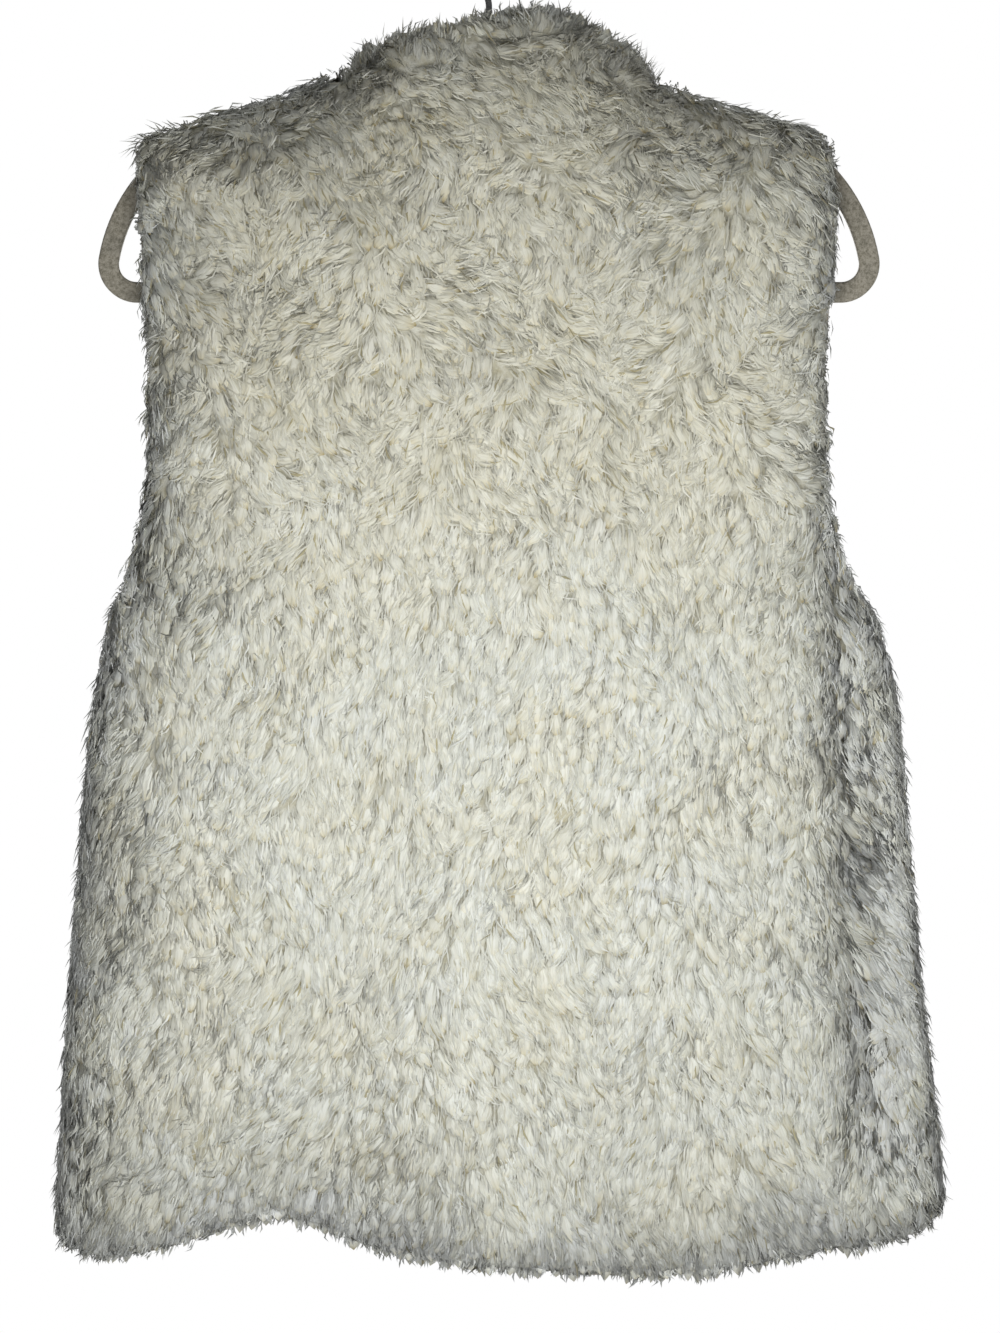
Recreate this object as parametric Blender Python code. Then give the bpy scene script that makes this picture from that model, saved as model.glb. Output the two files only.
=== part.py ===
"""Faux fur vest hanging on a slim flocked hanger.

Run with: blender --background --python part.py

Metres, +Z up. The wearer would face -Y, so the back of the vest looks towards +Y and the
wearer's left side is at +X. The origin is the highest point inside the hanger's hook, where
it sits on a rail, so everything hangs below it. The seams of the shoulders and sides lie in
the plane y = 0, and the hanger lies in that plane too.

The cloth is a wall of backing and pile together. Its inner face is a loft of flattened
sections, and its outer face stands one wall thickness out from it and rounds down to a thin
rim at each free edge. Every panel's columns run the same way round the body: left front from
its front edge to the side, back from the left side to the right, right front from the side to
its front edge. The collar's columns carry on those of the neckline.
"""

import bpy
import bmesh
import math
import numpy as np

MM = 0.001

# Wall of the fur cloth: backing and pile together, and the thin rim at a free edge.
WALL = 13.0 * MM
RIM = 4.0 * MM
RIM_ROUND = 11.0 * MM
SEAM_GAP = 0.4 * MM
SEAT_GAP = 1.1 * MM

# Hanger, from the top of its neck down to its bar.
HANGER_TOP = -88.0 * MM
HANGER_THICK = 6.0 * MM
HANGER_ROUND = 1.5 * MM
BAR_WIDTH = 11.5 * MM
NECK_HALF = 9.0 * MM
NECK_DEPTH = 19.0 * MM
ARM_SLOPE = math.radians(15.1)
ARM_LENGTH = 172.8 * MM
BEND_RADIUS = 48.0 * MM
END_SLOPE = math.radians(50.0)
END_RADIUS = 100.8 * MM
CORNER_SLOPE = math.radians(80.0)
CORNER_RADIUS = 22.0 * MM
ARC_STEP = math.radians(9.0)

# Hook of the hanger.
WIRE_RADIUS = 1.8 * MM
HOOK_INNER_RADIUS = 20.0 * MM
HOOK_BEND_RADIUS = 14.0 * MM
HOOK_TIP_ANGLE = math.radians(214.0)
HOOK_STEP = math.radians(13.0)
HOOK_GAP = 0.3 * MM

# Shoulder seam on the inner face: it rests on the arms between the two rest places.
REST_START = 122.0 * MM
REST_END = 168.0 * MM
SHOULDER_END_SLOPE = math.radians(17.0)
NECK_POINT_BELOW = 13.0 * MM

# Neck opening on the inner face.
NECK_CENTRE = -6.0 * MM
NECK_HALF_WIDTH = 88.0 * MM
BACK_NECK_DROP = 34.0 * MM
FRONT_NECK_DROP = 58.0 * MM
NECK_POWER = 2.3
FRONT_EDGE = 5.0 * MM
MITRE_LENGTH = 25.0 * MM
MITRE_LEAST = 0.6

# Shape of a horizontal section, and of the shoulders seen from the side.
SECTION_POWER = 2.5
SHOULDER_POWER = 1.6
SHOULDER_DEPTH = 56.0 * MM
UNDERARM = -391.0 * MM
CHEST_EDGE = math.radians(62.0)
HEM_LEVEL = -755.0 * MM

# Folds die away towards a panel's edge with this power, and run on past their ends by this
# share of their length. A normal is worked out over these two steps.
FOLD_END = 10
FOLD_PAST = 0.3
SHARE_STEP = 0.01
DROP_STEP = 1.5 * MM

# Rows and columns of the panels. Distances near an edge are in millimetres from it. The
# collar takes up part of its lean evenly and the rest towards its top.
TOP_ROWS = (0.0, 1.5, 5.0, 11.0, 19.0, 29.0, 41.0, 55.0)
ARMHOLE_ROWS = (12.0, 4.0, 0.0)
SIDE_ROWS = (-5.0, -13.0)
HEM_ROWS = (13.0, 6.0, 2.0, 0.0)
CHEST_ROWS = 7
SKIRT_ROWS = 12
NECK_FIRST_STEP = math.radians(27.0)
BACK_NECK_COLUMNS = 10
FRONT_NECK_COLUMNS = 4
FRONT_EDGE_COLUMNS = (0.0, 2.5, 7.0, 14.0)
SHOULDER_COLUMNS = 10
EDGE_SHARES = (0.14, 0.075, 0.027, 0.0)
COLLAR_ROWS = (0.0, 0.16, 0.36, 0.56, 0.74, 0.87, 0.96, 1.0)
LEAN_EVEN = 0.6
SHARP_EDGE = math.radians(50.0)
SETTLE_ROUNDS = 12

# Heights down the vest, in millimetres. Reach is the half width of the whole section, and it
# and the depths are those of the inner face. The edge angle is where a panel ends, in degrees
# round the section from the middle of the panel: at the armhole above the underarm, and at
# the side seam, 90, below it.
#    height  reach  reach     depth  depth  edge
#            left   right     back   front  angle
SECTIONS = (
    (-88.0, 221.0, 209.0, 34.0, 32.0, 62.0),
    (-140.0, 220.0, 213.0, 35.0, 33.0, 62.0),
    (-175.0, 217.0, 214.0, 37.0, 34.0, 62.0),
    (-220.0, 213.0, 212.0, 39.0, 35.0, 62.0),
    (-275.0, 209.0, 207.5, 41.0, 36.0, 62.0),
    (-325.0, 206.5, 204.5, 43.0, 38.0, 64.0),
    (-350.0, 204.0, 202.5, 44.0, 39.0, 68.5),
    (-370.0, 202.5, 202.0, 44.6, 39.6, 75.0),
    (-383.0, 202.0, 203.5, 45.0, 40.0, 82.0),
    (-391.0, 202.5, 205.5, 45.2, 40.2, 90.0),
    (-420.0, 207.0, 214.5, 46.0, 41.0, 90.0),
    (-448.0, 213.0, 220.5, 46.5, 42.0, 90.0),
    (-505.0, 218.5, 225.0, 47.5, 44.0, 90.0),
    (-562.0, 223.0, 229.5, 48.5, 46.0, 90.0),
    (-619.0, 227.0, 235.0, 50.0, 48.0, 90.0),
    (-676.0, 230.5, 241.5, 52.0, 50.0, 90.0),
    (-733.0, 233.5, 247.5, 54.0, 52.0, 90.0),
    (-790.0, 235.5, 251.0, 55.0, 53.0, 90.0),
)

# Hem of the back panel, in millimetres, from the wearer's right at -X to the left at +X.
# It arches up where a fold runs out at the left.
#    across  height
BACK_HEM = (
    (-251.0, -743.0),
    (-235.0, -751.0),
    (-208.0, -757.0),
    (-175.0, -760.0),
    (-140.0, -764.0),
    (-105.0, -769.0),
    (-62.0, -770.0),
    (-20.0, -766.0),
    (15.0, -761.0),
    (35.0, -760.0),
    (52.0, -755.0),
    (82.0, -747.0),
    (105.0, -739.0),
    (122.0, -737.0),
    (145.0, -743.0),
    (165.0, -751.0),
    (190.0, -760.0),
    (212.0, -767.0),
    (235.0, -762.0),
)

# Hem of the two fronts, which hang nearly level.
#    across  height
FRONT_HEM = (
    (-251.0, -743.0),
    (-200.0, -754.0),
    (-100.0, -758.0),
    (-6.0, -754.0),
    (100.0, -757.0),
    (190.0, -762.0),
    (235.0, -762.0),
)

# Folds of the back. Each runs from its top to its foot, and fades in and out past them over
# the fade length. Depth is positive inwards. All in millimetres.
#    top     top     foot    foot    half   depth  fade
#    across  height  across  height  width         length
BACK_FOLDS = (
    (-197.0, -400.0, -209.0, -660.0, 11.5, 14.0, 85.0),
    (-168.0, -330.0, -180.0, -700.0, 20.0, -4.0, 130.0),
    (50.0, -400.0, 66.0, -540.0, 24.0, 5.0, 110.0),
    (82.0, -660.0, 118.0, -790.0, 26.0, 10.0, 130.0),
    (172.0, -560.0, 186.0, -800.0, 30.0, -6.0, 140.0),
    (20.0, -600.0, 24.0, -800.0, 32.0, -5.0, 150.0),
    (-29.0, -330.0, -48.0, -560.0, 20.0, 3.0, 90.0),
    (-95.0, -480.0, -110.0, -800.0, 34.0, -5.0, 150.0),
)

# Folds of the fronts: the soft flutes that such fronts hang in.
#    top     top     foot    foot    half   depth  fade
#    across  height  across  height  width         length
FRONT_FOLDS = (
    (120.0, -390.0, 128.0, -800.0, 24.0, 7.0, 170.0),
    (-112.0, -360.0, -126.0, -800.0, 24.0, 7.0, 170.0),
    (62.0, -520.0, 66.0, -800.0, 26.0, -5.0, 160.0),
    (-58.0, -500.0, -64.0, -800.0, 28.0, -5.0, 160.0),
    (184.0, -480.0, 196.0, -800.0, 20.0, -4.0, 150.0),
    (-190.0, -500.0, -204.0, -800.0, 22.0, -4.0, 150.0),
)

# Collar. The place round the neck is in degrees: 0 at the centre back, 90 at the left
# shoulder, 180 at the centre front. The top edge rises above the seam and leans in over the
# neck by the two lengths, in millimetres.
#    round   rise  lean in
COLLAR_FORM = (
    (-180.0, 50.0, 20.0),
    (-140.0, 46.0, 19.0),
    (-110.0, 31.0, 19.0),
    (-90.0, 24.0, 19.0),
    (-72.0, 32.0, 20.0),
    (-55.0, 47.0, 20.0),
    (-43.0, 54.0, 18.0),
    (-28.0, 68.0, 14.0),
    (-18.0, 75.0, 12.0),
    (-10.0, 77.0, 12.0),
    (-2.0, 75.0, 12.0),
    (5.0, 70.0, 12.0),
    (13.0, 65.0, 12.0),
    (25.0, 61.0, 13.0),
    (38.0, 57.0, 15.0),
    (52.0, 44.0, 18.0),
    (70.0, 30.0, 20.0),
    (90.0, 23.0, 19.0),
    (110.0, 31.0, 19.0),
    (140.0, 46.0, 19.0),
    (180.0, 50.0, 20.0),
)

UP = np.array((0.0, 0.0, 1.0))


def read_table(table, key, column):
    """One column of a table, read smoothly at a value of its height or first column."""
    rows = table if table[0][0] < table[-1][0] else table[::-1]
    if key <= rows[0][0]:
        return rows[0][column]
    if key >= rows[-1][0]:
        return rows[-1][column]
    i = next(k for k in range(len(rows) - 1) if key <= rows[k + 1][0])
    slopes = []
    for k in (i, i + 1):
        low = rows[max(k - 1, 0)]
        high = rows[min(k + 1, len(rows) - 1)]
        slopes.append((high[column] - low[column]) / (high[0] - low[0]))
    span = rows[i + 1][0] - rows[i][0]
    t = (key - rows[i][0]) / span
    rise = (rows[i + 1][column] - rows[i][column]) * t * t * (3.0 - 2.0 * t)
    bend = span * t * (1.0 - t) * (slopes[0] * (1.0 - t) - slopes[1] * t)
    return rows[i][column] + rise + bend


def signed_power(value, power):
    return math.copysign(abs(value) ** power, value)


def unit(vector):
    return vector / np.linalg.norm(vector)


def hanger_side(inset):
    """Outline of the hanger at +X, moved inwards by inset, from the neck round to the bar."""
    heading = ARM_SLOPE
    x = NECK_HALF - inset * math.sin(heading)
    z = HANGER_TOP - inset * math.cos(heading)
    points = [(x, z)]

    def turn(radius, until):
        nonlocal x, z, heading
        steps = math.ceil((until - heading) / ARC_STEP)
        angle = (until - heading) / steps
        centre_x = x - radius * math.sin(heading)
        centre_z = z - radius * math.cos(heading)
        for _ in range(steps):
            heading += angle
            x = centre_x + radius * math.sin(heading)
            z = centre_z + radius * math.cos(heading)
            points.append((x, z))

    x += ARM_LENGTH * math.cos(heading)
    z -= ARM_LENGTH * math.sin(heading)
    points.append((x, z))
    turn(BEND_RADIUS - inset, END_SLOPE)
    turn(END_RADIUS - inset, CORNER_SLOPE)
    turn(CORNER_RADIUS - inset, math.pi)
    return points


ARM_TOP = hanger_side(0.0)


def arm_height(x):
    """Height of the hanger's upper edge at a place across."""
    x = abs(x)
    for (x0, z0), (x1, z1) in zip(ARM_TOP, ARM_TOP[1:]):
        if x0 <= x <= x1:
            return z0 + (z1 - z0) * (x - x0) / (x1 - x0)
    return HANGER_TOP


def shoulder_height(x):
    """Height of the inner shoulder seam, which rests on the arms, lifts off to the neck points
    and is level between them."""
    neck_point = NECK_HALF_WIDTH + NECK_CENTRE
    x = max(abs(x), neck_point)
    if x > REST_END:
        return arm_height(REST_END) + SEAT_GAP - (x - REST_END) * math.tan(SHOULDER_END_SLOPE)
    if x > REST_START:
        return arm_height(x) + SEAT_GAP
    start = arm_height(REST_START) + SEAT_GAP
    lift = HANGER_TOP - NECK_POINT_BELOW - start
    lift -= (REST_START - neck_point) * math.tan(ARM_SLOPE)
    share = (REST_START - x) / (REST_START - neck_point)
    return start + (REST_START - x) * math.tan(ARM_SLOPE) + lift * share * share * (3.0 - 2.0 * share)


def section(height, side):
    """Half width of the whole section at a height, and the angle where its panel ends."""
    reach = read_table(SECTIONS, height / MM, 1 if side >= 0 else 2) * MM
    return reach, math.radians(min(read_table(SECTIONS, height / MM, 5), 90.0))


def column_angle(share, edge):
    """Angle round the section of a column; the outer columns take up a wider edge angle."""
    return CHEST_EDGE * share + (edge - CHEST_EDGE) * share ** 3


def across_at(share, height):
    """Place across of a column, whose share runs from -1 to 1, at a height."""
    reach, edge = section(height, share)
    return reach * signed_power(math.sin(column_angle(share, edge)), 2.0 / SECTION_POWER)


def share_at(x, height):
    """Share of the column that starts at a place across near the neck."""
    reach = section(height, x)[0]
    return math.copysign(math.asin((abs(x) / reach) ** (SECTION_POWER / 2.0)) / CHEST_EDGE, x)


def shoulder_shape(drop):
    """How far a section has opened out at a drop below the shoulder, from 0 to 1."""
    share = min(max(drop / SHOULDER_DEPTH, 0.0), 1.0)
    return (1.0 - (1.0 - share) ** SHOULDER_POWER) ** (1.0 / SHOULDER_POWER)


def body_point(share, height, face):
    """Point on the inner face; face is 1 on the back and -1 on the fronts."""
    x = across_at(share, height)
    angle = column_angle(share, section(height, share)[1])
    depth = read_table(SECTIONS, height / MM, 3 if face > 0 else 4) * MM
    depth *= shoulder_shape(shoulder_height(x) - height)
    y = depth * signed_power(math.cos(angle), 2.0 / SECTION_POWER)
    return np.array((x, face * y, height))


def body_normal(share, height, face):
    """Outward direction of the inner face, before its folds."""
    low = max(share - SHARE_STEP, -1.0)
    high = min(share + SHARE_STEP, 1.0)
    across = body_point(high, height, face) - body_point(low, height, face)
    down = body_point(share, height - DROP_STEP, face) - body_point(share, height, face)
    return unit(np.cross(across, down) * face)


def fold_depth(folds, x, height):
    """Sum of the folds at a place, positive inwards."""
    total = 0.0
    z = height / MM
    for top_x, top_z, foot_x, foot_z, half_width, depth, fade in folds:
        along = min(max((z - top_z) / (foot_z - top_z), -FOLD_PAST), 1.0 + FOLD_PAST)
        centre = top_x + (foot_x - top_x) * along
        past = max(z - top_z, foot_z - z, 0.0)
        away = (x / MM - centre) / half_width
        total += depth * math.exp(-((2.0 * past / fade) ** 2) - away * away)
    return total * MM


def neckline_height(x, face):
    """Height of the neckline at a place across."""
    share = min(abs(x - NECK_CENTRE) / NECK_HALF_WIDTH, 1.0)
    bowl = (1.0 - share ** NECK_POWER) ** (1.0 / NECK_POWER)
    return shoulder_height(x) - (BACK_NECK_DROP if face > 0 else FRONT_NECK_DROP) * bowl


def neck_place(angle):
    """Place across at an angle round the neck, in radians from the centre back."""
    return NECK_CENTRE + NECK_HALF_WIDTH * signed_power(math.sin(angle), 2.0 / NECK_POWER)


def neck_angle(distance):
    """Angle round the neck on the front of a distance from the centre front."""
    return math.pi - math.asin((distance / NECK_HALF_WIDTH) ** (NECK_POWER / 2.0))


def shoulder_columns(side):
    """Shares and top heights of the columns from the neck point out to the armhole."""
    neck_x = neck_place(side * math.pi / 2.0)
    start = abs(share_at(neck_x, shoulder_height(neck_x)))
    span = 1.0 - EDGE_SHARES[0] - start
    shares = [start + span * k / SHOULDER_COLUMNS for k in range(1, SHOULDER_COLUMNS)]
    shares.extend(1.0 - share for share in EDGE_SHARES)
    columns = []
    for share in shares:
        height = shoulder_height(neck_x)
        for _ in range(SETTLE_ROUNDS):
            height = shoulder_height(across_at(side * share, height))
        columns.append((side * share, height, None))
    return columns


def neck_columns(angles, face):
    """Shares, top heights and angles of the columns that start at the neckline."""
    columns = []
    for angle in angles:
        x = neck_place(angle)
        height = neckline_height(x, face)
        columns.append((share_at(x, height), height, angle))
    return columns


def front_neck_angles():
    """Angles round the neck from the left front's edge to the neck point."""
    angles = [neck_angle(FRONT_EDGE + step * MM) for step in FRONT_EDGE_COLUMNS]
    last = angles[-1]
    steps = range(1, FRONT_NECK_COLUMNS + 1)
    span = last - 0.5 * math.pi - NECK_FIRST_STEP
    angles.extend(last - span * k / FRONT_NECK_COLUMNS for k in steps)
    angles.append(0.5 * math.pi)
    return angles


def back_neck_angles():
    """Angles round the neck from the left neck point to the right one."""
    wide = 0.5 * math.pi - NECK_FIRST_STEP
    steps = range(BACK_NECK_COLUMNS + 1)
    angles = [wide * (1.0 - 2.0 * k / BACK_NECK_COLUMNS) for k in steps]
    return [0.5 * math.pi] + angles + [-0.5 * math.pi]


def row_heights(top, foot):
    """Heights of one column's rows: close together at its top, its underarm and its hem."""
    rows = [top - drop * MM for drop in TOP_ROWS]
    start = rows[-1]
    end = UNDERARM + ARMHOLE_ROWS[0] * MM
    rows.extend(start + (end - start) * k / CHEST_ROWS for k in range(1, CHEST_ROWS))
    rows.extend(UNDERARM + rise * MM for rise in ARMHOLE_ROWS + SIDE_ROWS)
    start = rows[-1]
    end = foot + HEM_ROWS[0] * MM
    rows.extend(start + (end - start) * k / SKIRT_ROWS for k in range(1, SKIRT_ROWS))
    rows.extend(foot + rise * MM for rise in HEM_ROWS)
    return rows


UNDERARM_ROW = len(TOP_ROWS) + CHEST_ROWS - 1 + len(ARMHOLE_ROWS) - 1


def nearest_on_line(points, line):
    """For each point of a grid: its distance from a line, and where along the line it is."""
    starts = line[:-1]
    runs = line[1:] - starts
    lengths = np.maximum((runs ** 2).sum(axis=1), 1e-12)
    to_points = points[:, :, None, :] - starts
    along = np.clip((to_points * runs).sum(axis=3) / lengths, 0.0, 1.0)
    away = np.sqrt(((to_points - along[..., None] * runs) ** 2).sum(axis=3))
    nearest = away.argmin(axis=2)[..., None]
    place = np.take_along_axis(along, nearest, axis=2) + nearest
    return np.take_along_axis(away, nearest, axis=2)[..., 0], place[..., 0]


def wall_thickness(points, free_edges):
    """Wall at each point of a grid: full inside it, rounded down to the rim at free edges."""
    nearest = np.min([nearest_on_line(points, line)[0] for line in free_edges], axis=0)
    rounding = np.clip(nearest / RIM_ROUND, 0.0, 1.0)
    return RIM + (WALL - RIM) * np.sqrt(1.0 - (1.0 - rounding) ** 2)


class Panel:
    """Inner and outer points of one body panel, before its neckline is mitred."""

    def __init__(self, columns, face, hem, folds, free_columns):
        self.columns = columns
        rows = []
        for share, top, _ in columns:
            foot = read_table(hem, across_at(share, HEM_LEVEL) / MM, 1) * MM
            rows.append(row_heights(top, foot))
        heights = np.array(rows).T
        shape = heights.shape + (3,)
        base = np.zeros(shape)
        self.normals = np.zeros(shape)
        self.inner = np.zeros(shape)
        for j, i in np.ndindex(heights.shape):
            share = columns[i][0]
            point = body_point(share, heights[j, i], face)
            normal = body_normal(share, heights[j, i], face)
            if abs(point[1]) < 0.5 * SEAM_GAP:
                point[1] = face * 0.5 * SEAM_GAP
                normal = unit(normal * (1.0, 0.0, 1.0))
            base[j, i] = point
            self.normals[j, i] = normal
            depth = fold_depth(folds, point[0], heights[j, i]) * (1.0 - share ** FOLD_END)
            self.inner[j, i] = point - normal * depth
        free_edges = [base[-1]]
        free_edges.extend(base[:last, i] for i, last in free_columns)
        self.thickness = wall_thickness(base, free_edges)
        self.outer = self.inner + self.normals * self.thickness[..., None]

    def mitre_neck(self, seam):
        """Lean the wall near the neckline over to the seam that it shares with the collar."""
        away, place = nearest_on_line(self.inner, seam["points"])
        for j, i in np.ndindex(away.shape):
            weight = 1.0 - away[j, i] / MITRE_LENGTH
            if weight <= 0.0:
                continue
            normal = self.normals[j, i]
            mitre = between(seam["mitres"], place[j, i])
            if abs(normal[1]) < 1e-9:
                mitre[1] = 0.0
            leaning = unit(normal * (1.0 - weight) + unit(mitre) * weight)
            if j == 0 and self.columns[i][2] is not None:
                self.inner[j, i] -= between(seam["across"], place[j, i]) * 0.5 * SEAM_GAP
            reach = self.thickness[j, i] / max(float(leaning @ normal), MITRE_LEAST)
            self.outer[j, i] = self.inner[j, i] + leaning * reach


def between(values, place):
    """Value between two neighbours of a list of directions."""
    low = min(int(place), len(values) - 2)
    share = place - low
    return values[low] * (1.0 - share) + values[low + 1] * share


def collar_form(angle):
    degrees = math.degrees(angle)
    return read_table(COLLAR_FORM, degrees, 1) * MM, read_table(COLLAR_FORM, degrees, 2) * MM


def collar_points(panels):
    """Inner and outer points of the collar, and the line and directions of its neck seam."""
    ring = []
    for panel in panels:
        for i, (_, _, angle) in enumerate(panel.columns):
            if angle is None or (ring and abs(ring[-1][0] - angle) < 1e-6):
                continue
            base = panel.inner[0, i].copy()
            if abs(base[1]) <= SEAM_GAP:
                base[1] = 0.0
            ring.append((angle, base, panel.normals[0, i], panel.thickness[0, i]))
    bases = np.array([entry[1] for entry in ring])
    tangents = np.gradient(bases, axis=0)
    shape = (len(COLLAR_ROWS), len(ring), 3)
    inner = np.zeros(shape)
    normals = np.zeros(shape)
    mitres = []
    acrosses = []
    for i, (angle, base, body_out, _) in enumerate(ring):
        rise, lean = collar_form(angle)
        tangent = tangents[i]
        if abs(base[1]) < 1e-9:
            tangent = np.array((0.0, tangent[1], 0.0))
        tangent = unit(tangent)
        inward = unit(np.cross(tangent, UP))
        if inward @ np.array((base[0] - NECK_CENTRE, base[1], 0.0)) > 0.0:
            inward = -inward
        steep = unit(UP * rise + inward * lean)
        collar_out = unit(np.cross(tangent, steep))
        if collar_out @ inward > 0.0:
            collar_out = -collar_out
        mitre = unit(body_out + collar_out)
        across = unit(np.cross(tangent, mitre))
        if across @ steep < 0.0:
            across = -across
        mitres.append(mitre)
        acrosses.append(across)
        for j, share in enumerate(COLLAR_ROWS):
            leant = LEAN_EVEN * share + (1.0 - LEAN_EVEN) * share * share
            climb = UP * rise * share + inward * lean * leant
            inner[j, i] = base + across * 0.5 * SEAM_GAP + climb
            normals[j, i] = collar_out
    thickness = wall_thickness(inner, [inner[-1], inner[:, 0], inner[:, -1]])
    thickness[0] = [entry[3] for entry in ring]
    outer = np.zeros(shape)
    for j, i in np.ndindex(shape[:2]):
        climbed = np.linalg.norm(inner[j, i] - inner[0, i]) / MITRE_LENGTH
        leaning = mitres[i]
        if j > 0:
            leaning = unit(normals[j, i] * min(climbed, 1.0) + mitres[i] * max(1.0 - climbed, 0.0))
        body_out = ring[i][2] if j == 0 else normals[j, i]
        reach = thickness[j, i] / max(float(leaning @ body_out), MITRE_LEAST)
        outer[j, i] = inner[j, i] + leaning * reach
    return inner, outer, {"points": bases, "mitres": mitres, "across": acrosses}


def wall_object(name, inner, outer, look, collection):
    """Closed wall between two grids of points, with a face strip round its edge."""
    rows, columns = inner.shape[:2]
    mesh = bpy.data.meshes.new(name)
    build = bmesh.new()
    grids = []
    for grid in (inner, outer):
        grids.append([[build.verts.new(grid[j, i]) for i in range(columns)] for j in range(rows)])
    inside, outside = grids

    def two_triangles(a, b, c, d):
        build.faces.new((a, b, c))
        build.faces.new((a, c, d))

    for j in range(rows - 1):
        for i in range(columns - 1):
            for grid in grids:
                corners = (grid[j][i], grid[j][i + 1], grid[j + 1][i + 1], grid[j + 1][i])
                two_triangles(*corners)
    for j in (0, rows - 1):
        for i in range(columns - 1):
            two_triangles(inside[j][i], outside[j][i], outside[j][i + 1], inside[j][i + 1])
    for i in (0, columns - 1):
        for j in range(rows - 1):
            two_triangles(inside[j][i], outside[j][i], outside[j + 1][i], inside[j + 1][i])
    bmesh.ops.recalc_face_normals(build, faces=build.faces)
    build.to_mesh(mesh)
    build.free()
    mesh.shade_smooth()
    mesh.set_sharp_from_angle(angle=SHARP_EDGE)
    mesh.materials.append(look)
    result = bpy.data.objects.new(name, mesh)
    collection.objects.link(result)
    return result


def build_vest(collection, fur):
    front_angles = front_neck_angles()
    left_shoulder = shoulder_columns(1)
    right_shoulder = shoulder_columns(-1)

    left_columns = neck_columns(front_angles, -1) + left_shoulder
    back_columns = left_shoulder[::-1] + neck_columns(back_neck_angles(), 1) + right_shoulder
    right_angles = [-angle for angle in reversed(front_angles)]
    right_columns = right_shoulder[::-1] + neck_columns(right_angles, -1)

    armhole = UNDERARM_ROW + 1
    last_row = len(row_heights(0.0, -1.0))
    side = len(left_columns) - 1
    left = Panel(left_columns, -1, FRONT_HEM, FRONT_FOLDS, ((side, armhole), (0, last_row)))
    back = Panel(back_columns, 1, BACK_HEM, BACK_FOLDS,
                 ((0, armhole), (len(back_columns) - 1, armhole)))
    right = Panel(right_columns, -1, FRONT_HEM, FRONT_FOLDS, ((0, armhole), (side, last_row)))

    inner, outer, seam = collar_points((left, back, right))
    for name, panel in (("left_front", left), ("back_panel", back), ("right_front", right)):
        panel.mitre_neck(seam)
        wall_object(name, panel.inner, panel.outer, fur, collection)
    wall_object("collar", inner, outer, fur, collection)


def flat_plate(name, outlines, thickness, rounding, look, collection):
    """Upright plate in the XZ plane from closed outlines, the second one a hole."""
    curve = bpy.data.curves.new(name, "CURVE")
    curve.dimensions = "2D"
    curve.fill_mode = "BOTH"
    curve.extrude = 0.5 * thickness - rounding
    curve.bevel_depth = rounding
    curve.bevel_resolution = 1
    curve.offset = -rounding
    for outline in outlines:
        spline = curve.splines.new("POLY")
        spline.points.add(len(outline) - 1)
        for point, (x, z) in zip(spline.points, outline):
            point.co = (x, z, 0.0, 1.0)
        spline.use_cyclic_u = True
    curve.materials.append(look)
    result = bpy.data.objects.new(name, curve)
    result.rotation_euler = (math.pi / 2.0, 0.0, 0.0)
    collection.objects.link(result)
    return result


def build_hanger(collection, flock):
    """Slim hanger: two arms, round ends and a bar, as one plate with a large hole."""
    outline = hanger_side(0.0)
    outline.extend((-x, z) for x, z in reversed(outline))
    hole = [(x, z) for x, z in hanger_side(BAR_WIDTH) if x > NECK_HALF]
    arm_under = hole[0][1] + (hole[0][0] - NECK_HALF) * math.tan(ARM_SLOPE)
    hole.insert(0, (NECK_HALF, arm_under))
    hole.insert(0, (NECK_HALF - 2.0 * MM, HANGER_TOP - NECK_DEPTH))
    hole.extend((-x, z) for x, z in reversed(hole))
    flat_plate("hanger_frame", (outline, hole), HANGER_THICK, HANGER_ROUND, flock, collection)


def hook_route():
    """Centre line of the hook: stem, a bend to the side, then round over the rail."""
    radius = HOOK_INNER_RADIUS + WIRE_RADIUS
    centre_z = -HOOK_INNER_RADIUS
    rise = math.sqrt(radius * radius + 2.0 * radius * HOOK_BEND_RADIUS)
    stem_top = centre_z - rise
    join_angle = math.atan2(-rise, HOOK_BEND_RADIUS)
    points = [(0.0, HANGER_TOP + HOOK_GAP), (0.0, 0.5 * (HANGER_TOP + stem_top)), (0.0, stem_top)]
    bend = math.pi + join_angle
    steps = math.ceil(bend / HOOK_STEP)
    for k in range(1, steps):
        turned = bend * k / steps
        x = HOOK_BEND_RADIUS * (1.0 - math.cos(turned))
        points.append((x, stem_top + HOOK_BEND_RADIUS * math.sin(turned)))
    sweep = HOOK_TIP_ANGLE - join_angle
    steps = math.ceil(sweep / HOOK_STEP)
    for k in range(steps + 1):
        angle = join_angle + sweep * k / steps
        points.append((radius * math.cos(angle), centre_z + radius * math.sin(angle)))
    return points


def build_hook(collection, metal):
    curve = bpy.data.curves.new("hanger_hook", "CURVE")
    curve.dimensions = "3D"
    curve.bevel_depth = WIRE_RADIUS
    curve.bevel_resolution = 2
    curve.use_fill_caps = True
    route = hook_route()
    spline = curve.splines.new("POLY")
    spline.points.add(len(route) - 1)
    for point, (x, z) in zip(spline.points, route):
        point.co = (x, 0.0, z, 1.0)
    curve.materials.append(metal)
    hook = bpy.data.objects.new("hanger_hook", curve)
    collection.objects.link(hook)


def material(name, colour, roughness, metallic=0.0):
    result = bpy.data.materials.new(name)
    result.use_nodes = True
    shader = result.node_tree.nodes["Principled BSDF"]
    shader.inputs["Base Color"].default_value = (*colour, 1.0)
    shader.inputs["Roughness"].default_value = roughness
    shader.inputs["Metallic"].default_value = metallic
    return result


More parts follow.
